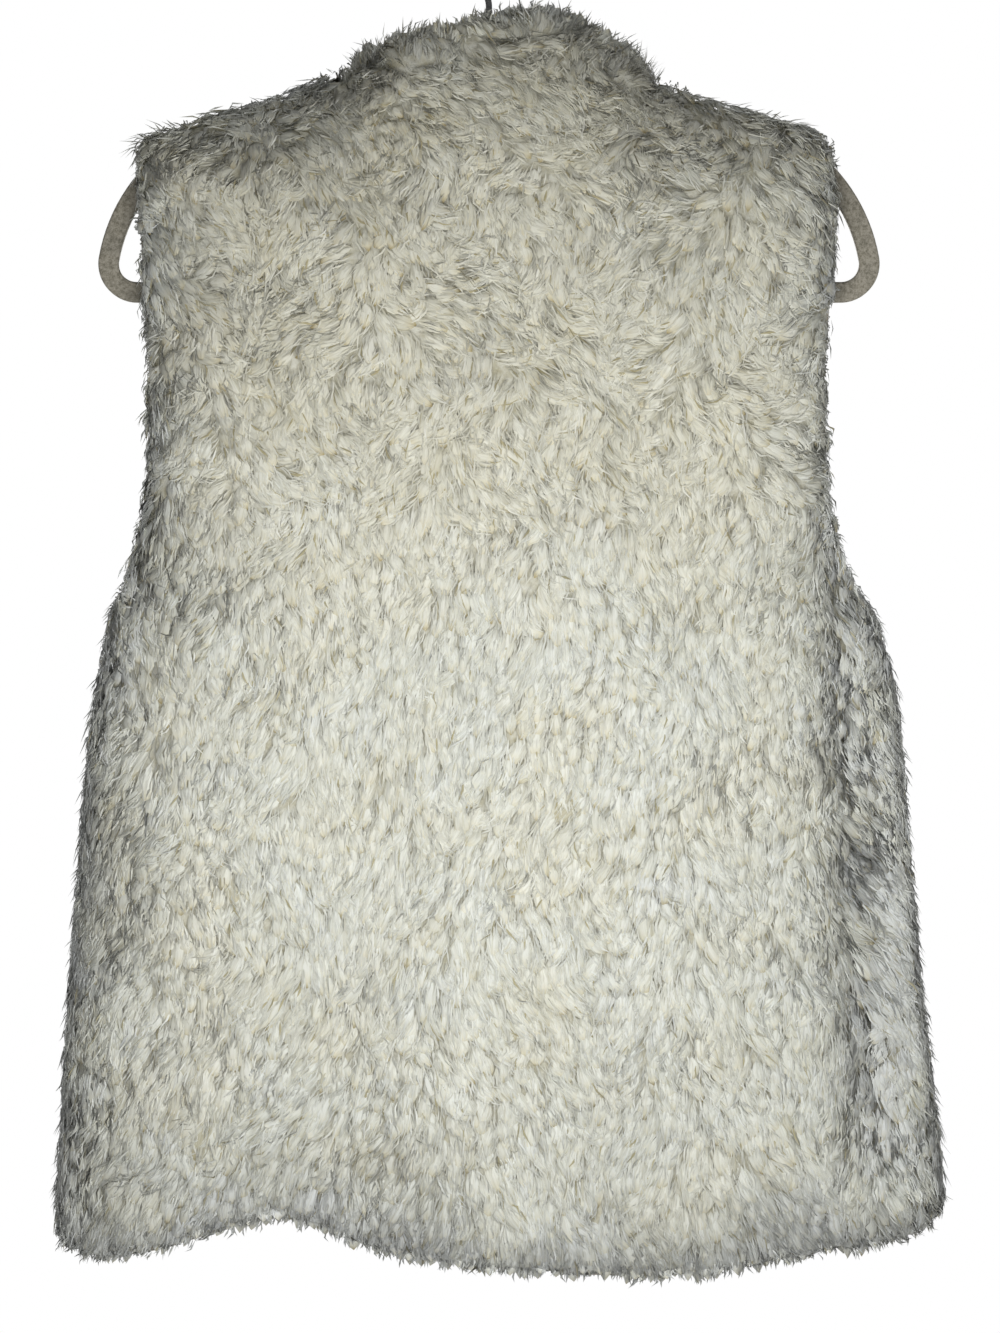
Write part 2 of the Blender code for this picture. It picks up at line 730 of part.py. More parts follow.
def main():
    for old in list(bpy.data.objects):
        bpy.data.objects.remove(old, do_unlink=True)
    collection = bpy.data.collections.new("faux_fur_vest")
    bpy.context.scene.collection.children.link(collection)
    build_vest(collection, material("ivory faux fur", (0.78, 0.76, 0.68), 0.9))
    build_hanger(collection, material("beige flock", (0.42, 0.36, 0.28), 0.95))
    build_hook(collection, material("bright wire", (0.72, 0.72, 0.72), 0.25, 1.0))


main()
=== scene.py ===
import math

import bpy
import numpy as np
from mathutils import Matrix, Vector
from mathutils.bvhtree import BVHTree
from mathutils.kdtree import KDTree


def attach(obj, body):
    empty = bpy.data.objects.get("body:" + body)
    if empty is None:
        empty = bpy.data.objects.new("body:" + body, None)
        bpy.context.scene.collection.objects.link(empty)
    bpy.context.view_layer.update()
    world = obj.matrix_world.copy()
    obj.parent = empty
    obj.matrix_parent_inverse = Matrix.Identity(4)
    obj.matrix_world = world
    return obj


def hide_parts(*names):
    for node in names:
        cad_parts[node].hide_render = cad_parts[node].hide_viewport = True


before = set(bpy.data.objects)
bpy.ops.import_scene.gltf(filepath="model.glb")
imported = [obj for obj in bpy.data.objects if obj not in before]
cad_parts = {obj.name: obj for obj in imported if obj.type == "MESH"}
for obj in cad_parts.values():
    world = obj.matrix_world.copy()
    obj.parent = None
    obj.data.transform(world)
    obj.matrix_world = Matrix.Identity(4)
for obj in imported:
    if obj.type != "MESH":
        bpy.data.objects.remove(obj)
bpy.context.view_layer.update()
print("frame loaded")


# Small helpers

mergeDistance = 0.00001


def deselectAll():
    if bpy.context.object and bpy.context.object.mode != "OBJECT":
        bpy.ops.object.mode_set(mode="OBJECT")
    bpy.ops.object.select_all(action="DESELECT")


def pick(obj):
    deselectAll()
    obj.select_set(True)
    bpy.context.view_layer.objects.active = obj


def applyModifiers(obj):
    pick(obj)
    for modifier in list(obj.modifiers):
        bpy.ops.object.modifier_apply(modifier=modifier.name)


def addObject(name, data):
    obj = bpy.data.objects.new(name, data)
    bpy.context.scene.collection.objects.link(obj)
    return obj


def mergeCorners(obj, outward=False):
    # corners that lie on one another become one, and where asked all faces look outward
    pick(obj)
    bpy.ops.object.mode_set(mode="EDIT")
    bpy.ops.mesh.select_all(action="SELECT")
    bpy.ops.mesh.remove_doubles(threshold=mergeDistance)
    if outward:
        bpy.ops.mesh.normals_make_consistent(inside=False)
    bpy.ops.object.mode_set(mode="OBJECT")


def cornersOf(mesh):
    return np.array([v.co for v in mesh.vertices])


def treeOf(points, numbers):
    tree = KDTree(len(numbers))
    for i in numbers:
        tree.insert(Vector(points[i]), int(i))
    tree.balance()
    return tree


def unitRows(rows):
    return rows / np.maximum(np.linalg.norm(rows, axis=-1, keepdims=True), 1e-9)


def softNoise(points, size, seed):
    # smooth random values from -1 to 1 that change over about one size
    table = np.random.default_rng(seed).random(4096) * 2.0 - 1.0
    cell = points / size
    base = np.floor(cell).astype(np.int64)
    part = cell - base
    part = part * part * (3.0 - 2.0 * part)
    total = np.zeros(len(points))
    for corner in np.ndindex(2, 2, 2):
        at = base + corner
        key = (at[:, 0] * 73856093) ^ (at[:, 1] * 19349663) ^ (at[:, 2] * 83492791)
        weight = np.prod(np.where(np.array(corner) == 1, part, 1.0 - part), axis=1)
        total += table[key % 4096] * weight
    return total


def newMaterial(name, roughness, sheen=0.0, sheenRoughness=0.5, specular=0.3, metallic=0.0):
    material = bpy.data.materials.new(name)
    material.use_nodes = True
    shader = material.node_tree.nodes["Principled BSDF"]
    shader.inputs["Roughness"].default_value = roughness
    shader.inputs["Specular IOR Level"].default_value = specular
    shader.inputs["Metallic"].default_value = metallic
    shader.inputs["Sheen Weight"].default_value = sheen
    shader.inputs["Sheen Roughness"].default_value = sheenRoughness
    return material, material.node_tree, shader


def addNode(tree, kind, values=None, **settings):
    node = tree.nodes.new(kind)
    for key, value in settings.items():
        setattr(node, key, value)
    for key, value in (values or {}).items():
        node.inputs[key].default_value = value
    return node


def addTexture(tree, kind, values, **settings):
    # a texture laid out in the object's own space
    place = addNode(tree, "ShaderNodeTexCoord")
    texture = addNode(tree, kind, values, **settings)
    tree.links.new(place.outputs["Object"], texture.inputs["Vector"])
    return texture.outputs["Fac"]


def setBump(tree, shader, height, strength, distance):
    bump = addNode(tree, "ShaderNodeBump", {"Strength": strength, "Distance": distance})
    tree.links.new(height, bump.inputs["Height"])
    tree.links.new(bump.outputs["Normal"], shader.inputs["Normal"])


def colourRamp(tree, source, stops):
    ramp = addNode(tree, "ShaderNodeValToRGB")
    tree.links.new(source, ramp.inputs["Fac"])
    elements = ramp.color_ramp.elements
    while len(elements) < len(stops):
        elements.new(0.5)
    for element, (place, colour) in zip(elements, stops):
        element.position = place
        element.color = (*colour, 1.0)
    return ramp.outputs["Color"]


def mixColours(tree, share, first, second, blend="MIX"):
    mix = addNode(tree, "ShaderNodeMix", data_type="RGBA", blend_type=blend)
    for socket, value in (("Factor", share), (6, first), (7, second)):
        target = mix.inputs[socket]
        if isinstance(value, bpy.types.NodeSocket):
            tree.links.new(value, target)
        elif isinstance(value, tuple):
            target.default_value = (*value, 1.0)
        else:
            target.default_value = value
    return mix.outputs[2]


# Materials

furLook = {
    # the roots' own yellower tint, darkened as painted shade deep in the pile
    "rootShadeColour": (0.50, 0.43, 0.25),
    "lowShadeColour": (0.75, 0.725, 0.60),
    "bodyColour": (0.80, 0.81, 0.755),
    "tipColour": (0.83, 0.845, 0.81),
    "roughness": 0.62,
    "sheen": 0.25,
    "streaks": 9.0,         # fibres seen across one strand
    "streakDepth": 0.00035,
}


def furMaterial():
    look = furLook
    material, tree, shader = newMaterial("ivoryFur", look["roughness"], look["sheen"], 0.4, 0.25)
    link = tree.links.new
    uv = addNode(tree, "ShaderNodeUVMap", uv_map="fibre")
    parts = addNode(tree, "ShaderNodeSeparateXYZ")
    link(uv.outputs["UV"], parts.inputs[0])
    tone = addNode(tree, "ShaderNodeAttribute", attribute_name="tone", attribute_type="GEOMETRY")
    # along each strand: painted shade deep in the pile darkens the roots' own yellower tint, and it turns
    # ivory to the tip
    along = colourRamp(tree, parts.outputs["Y"], (
        (0.05, look["rootShadeColour"]), (0.24, look["lowShadeColour"]),
        (0.5, look["bodyColour"]), (0.95, look["tipColour"])))
    stretch = addNode(tree, "ShaderNodeMapping", {"Scale": (look["streaks"], 0.9, 1.0)})
    link(uv.outputs["UV"], stretch.inputs["Vector"])
    fibres = addNode(tree, "ShaderNodeTexNoise", {"Scale": 1.0, "Detail": 3.0, "Roughness": 0.6},
                     noise_dimensions="4D")
    link(stretch.outputs["Vector"], fibres.inputs["Vector"])
    apart = addNode(tree, "ShaderNodeMath", {1: 40.0}, operation="MULTIPLY")
    link(tone.outputs["Fac"], apart.inputs[0])
    link(apart.outputs[0], fibres.inputs["W"])
    # fibre streaks: the fibres' own tone, darkest where the bump sinks between them as painted shade
    streaks = colourRamp(tree, fibres.outputs["Fac"], (
        (0.30, (0.71, 0.68, 0.59)), (0.47, (0.94, 0.935, 0.905)), (0.70, (1.08, 1.08, 1.08))))
    coloured = mixColours(tree, 1.0, along, streaks, "MULTIPLY")
    # tones differ at random between tufts and strands; the lowest, at 0, is painted shade where the pile
    # parts
    tones = colourRamp(tree, tone.outputs["Fac"], (
        (0.03, (0.60, 0.54, 0.37)), (0.12, (0.83, 0.81, 0.735)),
        (0.40, (0.95, 0.945, 0.92)), (1.0, (1.06, 1.06, 1.06))))
    coloured = mixColours(tree, 1.0, coloured, tones, "MULTIPLY")
    warmth = addNode(tree, "ShaderNodeAttribute", attribute_name="warmth", attribute_type="GEOMETRY")
    # warmth: the fur's own tint from place to place, cooled at the edges as painted shade
    tint = colourRamp(tree, warmth.outputs["Fac"], (
        (0.0, (0.955, 0.975, 1.05)), (0.25, (0.98, 0.99, 1.0)),
        (0.55, (1.0, 0.985, 0.95)), (1.0, (1.0, 0.965, 0.875))))
    coloured = mixColours(tree, 1.0, coloured, tint, "MULTIPLY")
    link(coloured, shader.inputs["Base Color"])
    setBump(tree, shader, fibres.outputs["Fac"], 0.8, look["streakDepth"])
    return material


undercoatLook = {
    "deepColour": (0.48, 0.45, 0.32),
    "topColour": (0.74, 0.735, 0.65),
    "roughness": 0.9,
}


def undercoatMaterial():
    look = undercoatLook
    material, tree, shader = newMaterial("furUndercoat", look["roughness"], 0.2, 0.5, 0.15)
    tufts = addTexture(tree, "ShaderNodeTexNoise", {"Scale": 160.0, "Detail": 4.0, "Roughness": 0.65})
    # darker and yellower in the dips of the tufts' bump: painted shade
    colour = colourRamp(tree, tufts, ((0.3, look["deepColour"]), (0.62, look["topColour"])))
    tree.links.new(colour, shader.inputs["Base Color"])
    setBump(tree, shader, tufts, 0.8, 0.0015)
    return material


backingLook = {
    "colour": (0.62, 0.58, 0.49),
    "grooveColour": (0.50, 0.46, 0.38),
    "courses": 520.0,       # knitted rows in a metre
    "roughness": 0.95,
}


def backingMaterial():
    look = backingLook
    material, tree, shader = newMaterial("knittedBacking", look["roughness"], 0.1, 0.5, 0.15)
    knit = addNode(tree, "ShaderNodeMath", operation="MULTIPLY")
    for i, (direction, distortion) in enumerate((("X", 1.2), ("Z", 0.8))):
        values = {"Scale": look["courses"] / math.tau, "Distortion": distortion,
                  "Detail": 1.0, "Detail Scale": 3.0}
        ribs = addTexture(tree, "ShaderNodeTexWave", values, wave_type="BANDS", bands_direction=direction)
        tree.links.new(ribs, knit.inputs[i])
    colour = colourRamp(tree, knit.outputs[0], ((0.1, look["grooveColour"]), (0.7, look["colour"])))
    patches = addTexture(tree, "ShaderNodeTexNoise", {"Scale": 30.0, "Detail": 3.0})
    shade = colourRamp(tree, patches, ((0.35, (0.93, 0.92, 0.9)), (0.65, (1.04, 1.04, 1.04))))
    tree.links.new(mixColours(tree, 1.0, colour, shade, "MULTIPLY"), shader.inputs["Base Color"])
    setBump(tree, shader, knit.outputs[0], 0.6, 0.0006)
    return material


flockLook = {
    "deepColour": (0.20, 0.187, 0.145),
    "topColour": (0.465, 0.435, 0.365),
    "roughness": 0.95,
}


def flockMaterial():
    look = flockLook
    material, tree, shader = newMaterial("beigeFlock", look["roughness"], 0.6, 0.35, 0.1)
    shader.inputs["Sheen Tint"].default_value = (0.80, 0.76, 0.68, 1.0)
    fine = addTexture(tree, "ShaderNodeTexNoise", {"Scale": 520.0, "Detail": 3.0, "Roughness": 0.8})
    worn = addTexture(tree, "ShaderNodeTexNoise", {"Scale": 45.0, "Detail": 4.0, "Roughness": 0.6})
    colour = colourRamp(tree, fine, ((0.34, look["deepColour"]), (0.62, look["topColour"])))
    brushed = colourRamp(tree, worn, ((0.35, (0.88, 0.88, 0.88)), (0.65, (1.08, 1.07, 1.05))))
    tree.links.new(mixColours(tree, 1.0, colour, brushed, "MULTIPLY"), shader.inputs["Base Color"])
    setBump(tree, shader, fine, 0.5, 0.0003)
    return material


def wireMaterial():
    material, tree, shader = newMaterial("brightWire", 0.25, metallic=1.0, specular=0.5)
    link = tree.links.new
    place = addNode(tree, "ShaderNodeTexCoord")
    drawn = addNode(tree, "ShaderNodeMapping", {"Scale": (90.0, 90.0, 900.0)})
    scratches = addNode(tree, "ShaderNodeTexNoise", {"Scale": 1.0, "Detail": 3.0})
    link(place.outputs["Object"], drawn.inputs["Vector"])
    link(drawn.outputs["Vector"], scratches.inputs["Vector"])
    colour = colourRamp(tree, scratches.outputs["Fac"], (
        (0.3, (0.56, 0.56, 0.57)), (0.7, (0.70, 0.70, 0.70))))
    link(colour, shader.inputs["Base Color"])
    rough = addNode(tree, "ShaderNodeMapRange", {"To Min": 0.18, "To Max": 0.38})
    link(scratches.outputs["Fac"], rough.inputs["Value"])
    link(rough.outputs["Result"], shader.inputs["Roughness"])
    return material


fur = furMaterial()
undercoat = undercoatMaterial()
backing = backingMaterial()
flock = flockMaterial()
wire = wireMaterial()
print("materials made")


# The cloth's two faces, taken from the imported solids

clothNodes = ("back_panel", "left_front", "right_front", "collar")
clothSizes = {
    "neckHollow": (-0.062, 0.050),  # from this x to that one
    "bodyHollow": (-0.150, 0.150),
    "bodyHollowTop": -0.155,
    "turnedIn": -0.3,       # a face that looks inward more than this is on the hollow's side
    "seamStart": 0.00005,
    "seamGap": 0.0020,      # a face with another panel nearer than this is in a seam
    "seamHalf": 0.0006,     # half of the gap that is closed between two panels
}


def mergedCopy(node, name):
    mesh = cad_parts[node].data.copy()
    mesh.name = name
    mesh.materials.clear()
    obj = addObject(name, mesh)
    mergeCorners(obj)
    return obj


def meshTree(obj):
    mesh = obj.data
    return BVHTree.FromPolygons([v.co.copy() for v in mesh.vertices],
                                [tuple(p.vertices) for p in mesh.polygons])


def awayFromInside(points, node):
    # direction from the middle of the hollow to each point
    inside = np.zeros_like(points)
    if node == "collar":
        inside[:, 0] = np.clip(points[:, 0], *clothSizes["neckHollow"])
        inside[:, 2] = points[:, 2]
    else:
        inside[:, 0] = np.clip(points[:, 0], *clothSizes["bodyHollow"])
        inside[:, 2] = np.minimum(points[:, 2], clothSizes["bodyHollowTop"])
    return unitRows(points - inside)


def faceKinds(obj, node, others):
    # for each face: 1 to the fur side, -1 to the hollow, 0 in a seam between two panels
    mesh = obj.data
    centres = np.array([p.center for p in mesh.polygons])
    normals = np.array([p.normal for p in mesh.polygons])
    facing = (normals * awayFromInside(centres, node)).sum(axis=1)
    kinds = np.where(facing < clothSizes["turnedIn"], -1, 1)
    for i in np.nonzero(kinds == 1)[0]:
        start = Vector(centres[i] + normals[i] * clothSizes["seamStart"])
        direction = Vector(normals[i])
        for tree in others:
            if tree.ray_cast(start, direction, clothSizes["seamGap"])[0] is not None:
                kinds[i] = 0
                break
    return kinds


def keepFaces(obj, keep):
    pick(obj)
    bpy.ops.object.mode_set(mode="EDIT")
    bpy.ops.mesh.select_mode(type="FACE")
    bpy.ops.mesh.select_all(action="DESELECT")
    bpy.ops.object.mode_set(mode="OBJECT")
    obj.data.polygons.foreach_set("select", ~keep)
    bpy.ops.object.mode_set(mode="EDIT")
    bpy.ops.mesh.delete(type="FACE")
    bpy.ops.mesh.select_all(action="SELECT")
    bpy.ops.mesh.tris_convert_to_quads()
    bpy.ops.object.mode_set(mode="OBJECT")


nodeTrees = {node: meshTree(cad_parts[node]) for node in clothNodes}
furSides = {}
hollowSides = {}
for node in clothNodes:
    others = [tree for name, tree in nodeTrees.items() if name != node]
    furSide = mergedCopy(node, "furSide_" + node)
    kinds = faceKinds(furSide, node, others)
    hollowSide = mergedCopy(node, "hollowSide_" + node)
    keepFaces(furSide, kinds == 1)
    keepFaces(hollowSide, kinds == -1)
    furSides[node] = furSide
    hollowSides[node] = hollowSide
print("cloth faces read")


# Backing and undercoat: one thick-piled sheet for each panel

sheetSizes = {
    "pileTop": 0.0080,      # knitted backing with the dense undercoat on it
    "pileShare": 0.60,      # of the cloth's own depth, where that is less
    "tuftSize": 0.0085,
    "tuftHeight": 0.0011,
    "backingDepth": 0.0008,     # faces no deeper than this show the knitted backing
    # flat cut of each panel that shows: width, length, area
    "back_panel": (0.62, 0.70, 0.30),
    "left_front": (0.31, 0.69, 0.150),
    "right_front": (0.31, 0.69, 0.145),
    "collar": (0.38, 0.065, 0.0235),
}


def makeSheet(node, name, skin):
    sizes = sheetSizes
    sheet = addObject(name, hollowSides[node].data.copy())
    sheet.data.name = name
    smooth = sheet.modifiers.new("smooth", "SUBSURF")
    smooth.subdivision_type = "SIMPLE"
    smooth.levels = smooth.render_levels = 1
    thick = sheet.modifiers.new("thick", "SOLIDIFY")
    thick.thickness = sizes["pileTop"]
    thick.offset = -1.0
    thick.use_even_offset = False
    applyModifiers(sheet)
    mesh = sheet.data
    inner = meshTree(hollowSides[node])
    places = cornersOf(mesh)
    tufts = softNoise(places, sizes["tuftSize"], 11) + 0.5 * softNoise(places, sizes["tuftSize"] * 0.5, 12)
    for i, place in enumerate(places):
        foot, _, _, depth = inner.find_nearest(Vector(place))
        room = skin.find_nearest(foot)[3]
        top = min(sizes["pileTop"], sizes["pileShare"] * room) + sizes["tuftHeight"] * tufts[i]
        places[i] = np.array(foot) + (place - np.array(foot)) * (top / sizes["pileTop"])
    mesh.vertices.foreach_set("co", places.ravel())
    mesh.materials.append(undercoat)
    mesh.materials.append(backing)
    faceDepth = np.array([inner.find_nearest(p.center)[3] for p in mesh.polygons])
    isBacking = faceDepth < sizes["backingDepth"]
    mesh.polygons.foreach_set("material_index", isBacking.astype(np.int32))
    mesh.shade_smooth()
    mesh.update()
    return sheet


# Fur: each tuft is a soft curved lock with fine strands over it, on the fur side of its panel

furSizes = {
    "spacing": {"back_panel": 0.0063, "left_front": 0.0078, "right_front": 0.0078, "collar": 0.0056},
    "baseSpacing": 0.0063,  # the sizes below are for this spacing and grow with it
    "strands": {"back_panel": 15, "left_front": 12, "right_front": 12, "collar": 16},
    "length": (0.014, 0.023),
    "lengthWaver": 0.25,
    "halfWidth": (0.0036, 0.0052),
    "halfHeight": 0.0012,
    "puff": (0.012, 0.30, 0.15),    # tufts differ in depth: distance, evenly, and at random
    "puffDepth": 0.6,
    "overBacking": 0.0010,  # a lock's middle stays this far over the backing
    "strandWidth": (0.0007, 0.0016),
    "strandFlatness": 0.6,
    "strandReach": 0.0052,  # how far to the side of a tuft its strands lie
    "strandStart": (-0.30, 0.50),
    "strandLength": (0.45, 0.80),
    "aside": (-1.2, 1.2),   # of the reach to the side
    "swerve": 0.0011,
    "lifts": ((-0.0032, -0.0012), (0.0, 0.0006), (-0.0008, 0.0006)),    # at its root, middle and tip
    "tallShares": (0.0, 0.35, 1.0),     # how a tall strand rises along its length
    "nearEdge": 0.012,      # nearer to an edge than this a strand ends with its tuft,
    "leastOver": 0.12,      # or this share of the tuft's length past it
    "floor": -0.0012,       # strands between two tufts lie no deeper than this
    "above": 0.0002,        # the strands' middles over the lock's ridge
    "tallest": {"collar": 0.0105, "body": 0.0052},
    "wispCorner": (0.196, 0.0, -0.122),     # the shoulder's corner, where more strands stand up
    "wispReach": 0.022,
    "wispGain": 1.5,
    "tallRarity": (6.5, 4.5),       # how rare tall strands are, and less so at that corner
    "overhang": (0.0010, 0.0048),
    "insideShare": 0.6,     # of a tuft that hangs over an edge, this much starts inside
    "leastStep": 0.0002,
    "nearSkin": (0.6, 0.0005),      # the skin is sought this near: a share of a step, and more
    "hemReach": 0.034,      # within this distance of the hem the fur hangs straight down
    "upperBack": (-0.42, -0.27),    # between these heights the fur begins to swirl
    "tones": (0.56, 0.12, 0.17),    # the middle tone, and how far tufts and strands differ
    "warmthWaver": (0.18, 0.05),    # from place to place, and at random
    "edgeShadeTint": (0.55, 0.022),      # at an edge the fur is painted cooler, the grey of its shade there, over this distance
    "streaks": (1.5, 0.4),          # share of the fibre pattern on a lock and on a strand
    "sideTurn": 0.70,       # how far a tuft's shade turns from its ridge to its sides
    "facingAt": 0.42,       # share of its length where it looks straight up
    "lockRound": 0.60,      # the own roundness of locks and of strands
    "strandRound": 0.30,
    # a distance and an amount each
    "softening": (0.024, 0.80),     # the pile evens out the shade of the folds
    "billow": (0.024, 0.38),        # its rise and fall over a few tufts
    "sway": (0.008, 0.32),          # and over one tuft
    # two values each: low down, and in the upper back
    "warmth": (0.36, 0.66),
    "paintedPartingShade": (0.015, 0.045),     # share of strands painted dark, as the shade where the pile parts between tufts
    "curl": (0.45, 0.75),           # turn of a tuft along its length
    "tipTurn": (1.05, 0.78),        # how far its shade turns from its root to its tip
    # how far the pile turns at each kind of edge, over what distance, and on the narrow edge itself
    "edgeRounding": {"collar": (0.80, 0.050, 0.80), "hem": (1.30, 0.034, 1.40),
                     "rim": (1.05, 0.030, 0.45), "side": (0.62, 0.026, 0.62),
                     "shoulder": (0.60, 0.110, 0.60)},
    "armhole": (0.150, -0.375),     # beyond this x and above this z an edge is the armhole's
    "hem": -0.68,           # an edge below this is the hem's
    "shoulder": -0.20,      # a seam above this is the shoulder's
    "seamNear": 0.004,      # places this near to y = 0 are at a side or shoulder seam
    "tries": 6.0,           # random places tried for each that fits
}

hemSizes = {
    "from": -0.66,          # below this the cloth is drawn up, in full at the end of the zone
    "zone": 0.11,
    "rise": 0.0065,
    "waves": 0.0026,
}

# shares along a tuft from root to tip, and the lock's width, depth and middle there
tuftShares = np.array((0.0, 0.16, 0.38, 0.62, 0.84, 1.0))
lockWidths = np.array((0.0, 0.60, 1.0, 0.95, 0.56, 0.0))
lockHeights = np.array((0.0, 0.75, 1.0, 1.0, 0.70, 0.0))
lockMiddles = np.array((-0.0050, -0.0036, -0.0021, -0.0018, -0.0027, -0.0040))


def scatter(obj, spacing, rng):
    # places on a surface, none nearer to another than the spacing, with their normals
    mesh = obj.data
    mesh.calc_loop_triangles()
    places = cornersOf(mesh)
    normals = np.array([v.normal for v in mesh.vertices])
    corners = np.array([t.vertices for t in mesh.loop_triangles])
    a, b, c = (places[corners[:, k]] for k in range(3))
    areas = 0.5 * np.linalg.norm(np.cross(b - a, c - a), axis=1)
    tries = int(areas.sum() / spacing ** 2 * furSizes["tries"])
    chosen = rng.choice(len(areas), size=tries, p=areas / areas.sum())
    u = np.sqrt(rng.random(tries))
    v = rng.random(tries)
    weights = np.stack([1.0 - u, u * (1.0 - v), u * v], axis=1)
    points = (places[corners[chosen]] * weights[:, :, None]).sum(axis=1)
    facing = unitRows((normals[corners[chosen]] * weights[:, :, None]).sum(axis=1))
    cells = np.floor(points / spacing).astype(int)
    around = [np.array(step) - 1 for step in np.ndindex(3, 3, 3)]
    taken = {}
    kept = []
    for i in range(tries):
        near = (taken.get(tuple(cells[i] + step)) for step in around)
        near = [j for group in near if group for j in group]
        if near:
            gaps = points[near] - points[i]
            if (gaps * gaps).sum(axis=1).min() < spacing * spacing:
                continue
        taken.setdefault(tuple(cells[i]), []).append(i)
        kept.append(i)
    return points[kept], facing[kept]


def blendShare(value, low, high):
    share = np.clip((value - low) / (high - low), 0.0, 1.0)
    return share * share * (3.0 - 2.0 * share)


def upperShare(points):
    # 0 in the lower part of the vest and 1 over the upper back, where the fur swirls
    return blendShare(points[:, 2], *furSizes["upperBack"])


def lowToUpper(values, points):
    # between the value low down and the one in the upper back
    low, high = values
    return low + (high - low) * upperShare(points)


def edgeDistances(points, edges):
    return np.array([edges.find(Vector(p))[2] for p in points])


def hemShare(points, edges):
    # 1 at the hem, where the fur hangs straight, and 0 away from it
    gap = edgeDistances(points, edges)
    return (points[:, 2] < furSizes["hem"]) * (1.0 - blendShare(gap, 0.0, furSizes["hemReach"]))


flowSizes = {
    # the collar: it stands up nearer to its top edge than this wavering line, and hangs below it
    "collarLine": (0.018, 0.030),
    "collarWaver": 0.014,
    "collarDown": -0.8,
    "collarLean": 0.5,
    "collarSwing": (0.5, 0.5, 3.2),     # at the top, added at the seam, and added at the line
    # the body
    "spread": 0.45,         # outward lie, in full at the half width
    "halfWidth": 0.24,
    "off": (0.25, 1.5),     # lie away from the cloth, on a wall and added on a ledge
    "swing": (0.45, 1.45),  # turn of the swirls in radians, low down and in the upper back
    "hemCalm": 0.70,        # share of the swirl that is lost at the hem
    "hemCurl": 0.6,         # and of the tufts' own curl
    "openingLean": 1.5,     # the fronts' fur leans over their opening
    "openingReach": 0.012,
    # size, share and seed of each swirl, and last of the unrest from tuft to tuft
    "swirls": ((0.040, 1.1, 32), (0.016, 0.8, 33), (0.006, 0.25, 34)),
    "freeEdge": 0.5,        # a place that looks outward less than this is on a free edge
    "against": -0.6,        # an edge that looks against the fur
    "over": 0.55,           # an edge that the fur hangs over
}


def flowDirections(points, normals, node, edges):
    # the way that the fur lies at each place, and whether it hangs over a free edge there
    sizes = flowSizes
    count = len(points)
    outward = awayFromInside(points, node)
    lie = np.zeros((count, 3))
    if node == "collar":
        # up at the collar's top edge, and down over its seam
        gap = edgeDistances(points, edges)
        waver = sizes["collarWaver"] * softNoise(points, 0.016, 35)
        upright = 1.0 - blendShare(gap + waver, *sizes["collarLine"])
        lie[:, 2] = np.where(upright > 0.5, 1.0, sizes["collarDown"])
        lie[:, 0] = sizes["collarLean"] * softNoise(points, 0.05, 31)
        atTop, atSeam, atLine = sizes["collarSwing"]
        swing = atTop + atSeam * (1.0 - upright) + atLine * upright * (1.0 - upright)
    else:
        lie[:, 2] = -1.0
        outer = np.abs(points[:, 0]) / sizes["halfWidth"]
        lie[:, 0] = sizes["spread"] * np.sign(points[:, 0]) * outer ** 2
        onWall, onLedge = sizes["off"]
        ledge = np.maximum(normals[:, 2], 0.0)
        lie[:, 1] = (onWall + onLedge * ledge) * np.where(points[:, 1] >= 0.0, 1.0, -1.0)
        swing = lowToUpper(sizes["swing"], points)
        swing *= 1.0 - sizes["hemCalm"] * hemShare(points, edges)
        # the fur of the two fronts meets over their opening
        opening = np.exp(-np.abs(points[:, 0]) / sizes["openingReach"]) * (points[:, 1] < 0.0)
        lie[:, 0] -= sizes["openingLean"] * opening * np.sign(points[:, 0])
    lie = unitRows(lie)
    # an edge that looks against the fur has it combed outward
    rim = (outward * normals).sum(axis=1) < sizes["freeEdge"]
    against = rim & ((lie * normals).sum(axis=1) < sizes["against"])
    lie[against] = unitRows(outward + 0.3 * lie)[against]
    swirls = [softNoise(points, size, seed) * share for size, share, seed in sizes["swirls"]]
    turn = swing * sum(swirls[:-1]) + swirls[-1]
    along = (lie * normals).sum(axis=1, keepdims=True)
    onSurface = unitRows(lie - along * normals)
    across = np.cross(normals, onSurface)
    turned = onSurface * np.cos(turn)[:, None] + across * np.sin(turn)[:, None]
    over = along[:, 0] > sizes["over"]
    turned[over] = unitRows(lie + 0.25 * across * turn[:, None])[over]
    facing = normals.copy()
    facing[over] = unitRows(outward + 0.4 * normals)[over]
    facing -= (facing * turned).sum(axis=1, keepdims=True) * turned
    return turned, unitRows(facing), over


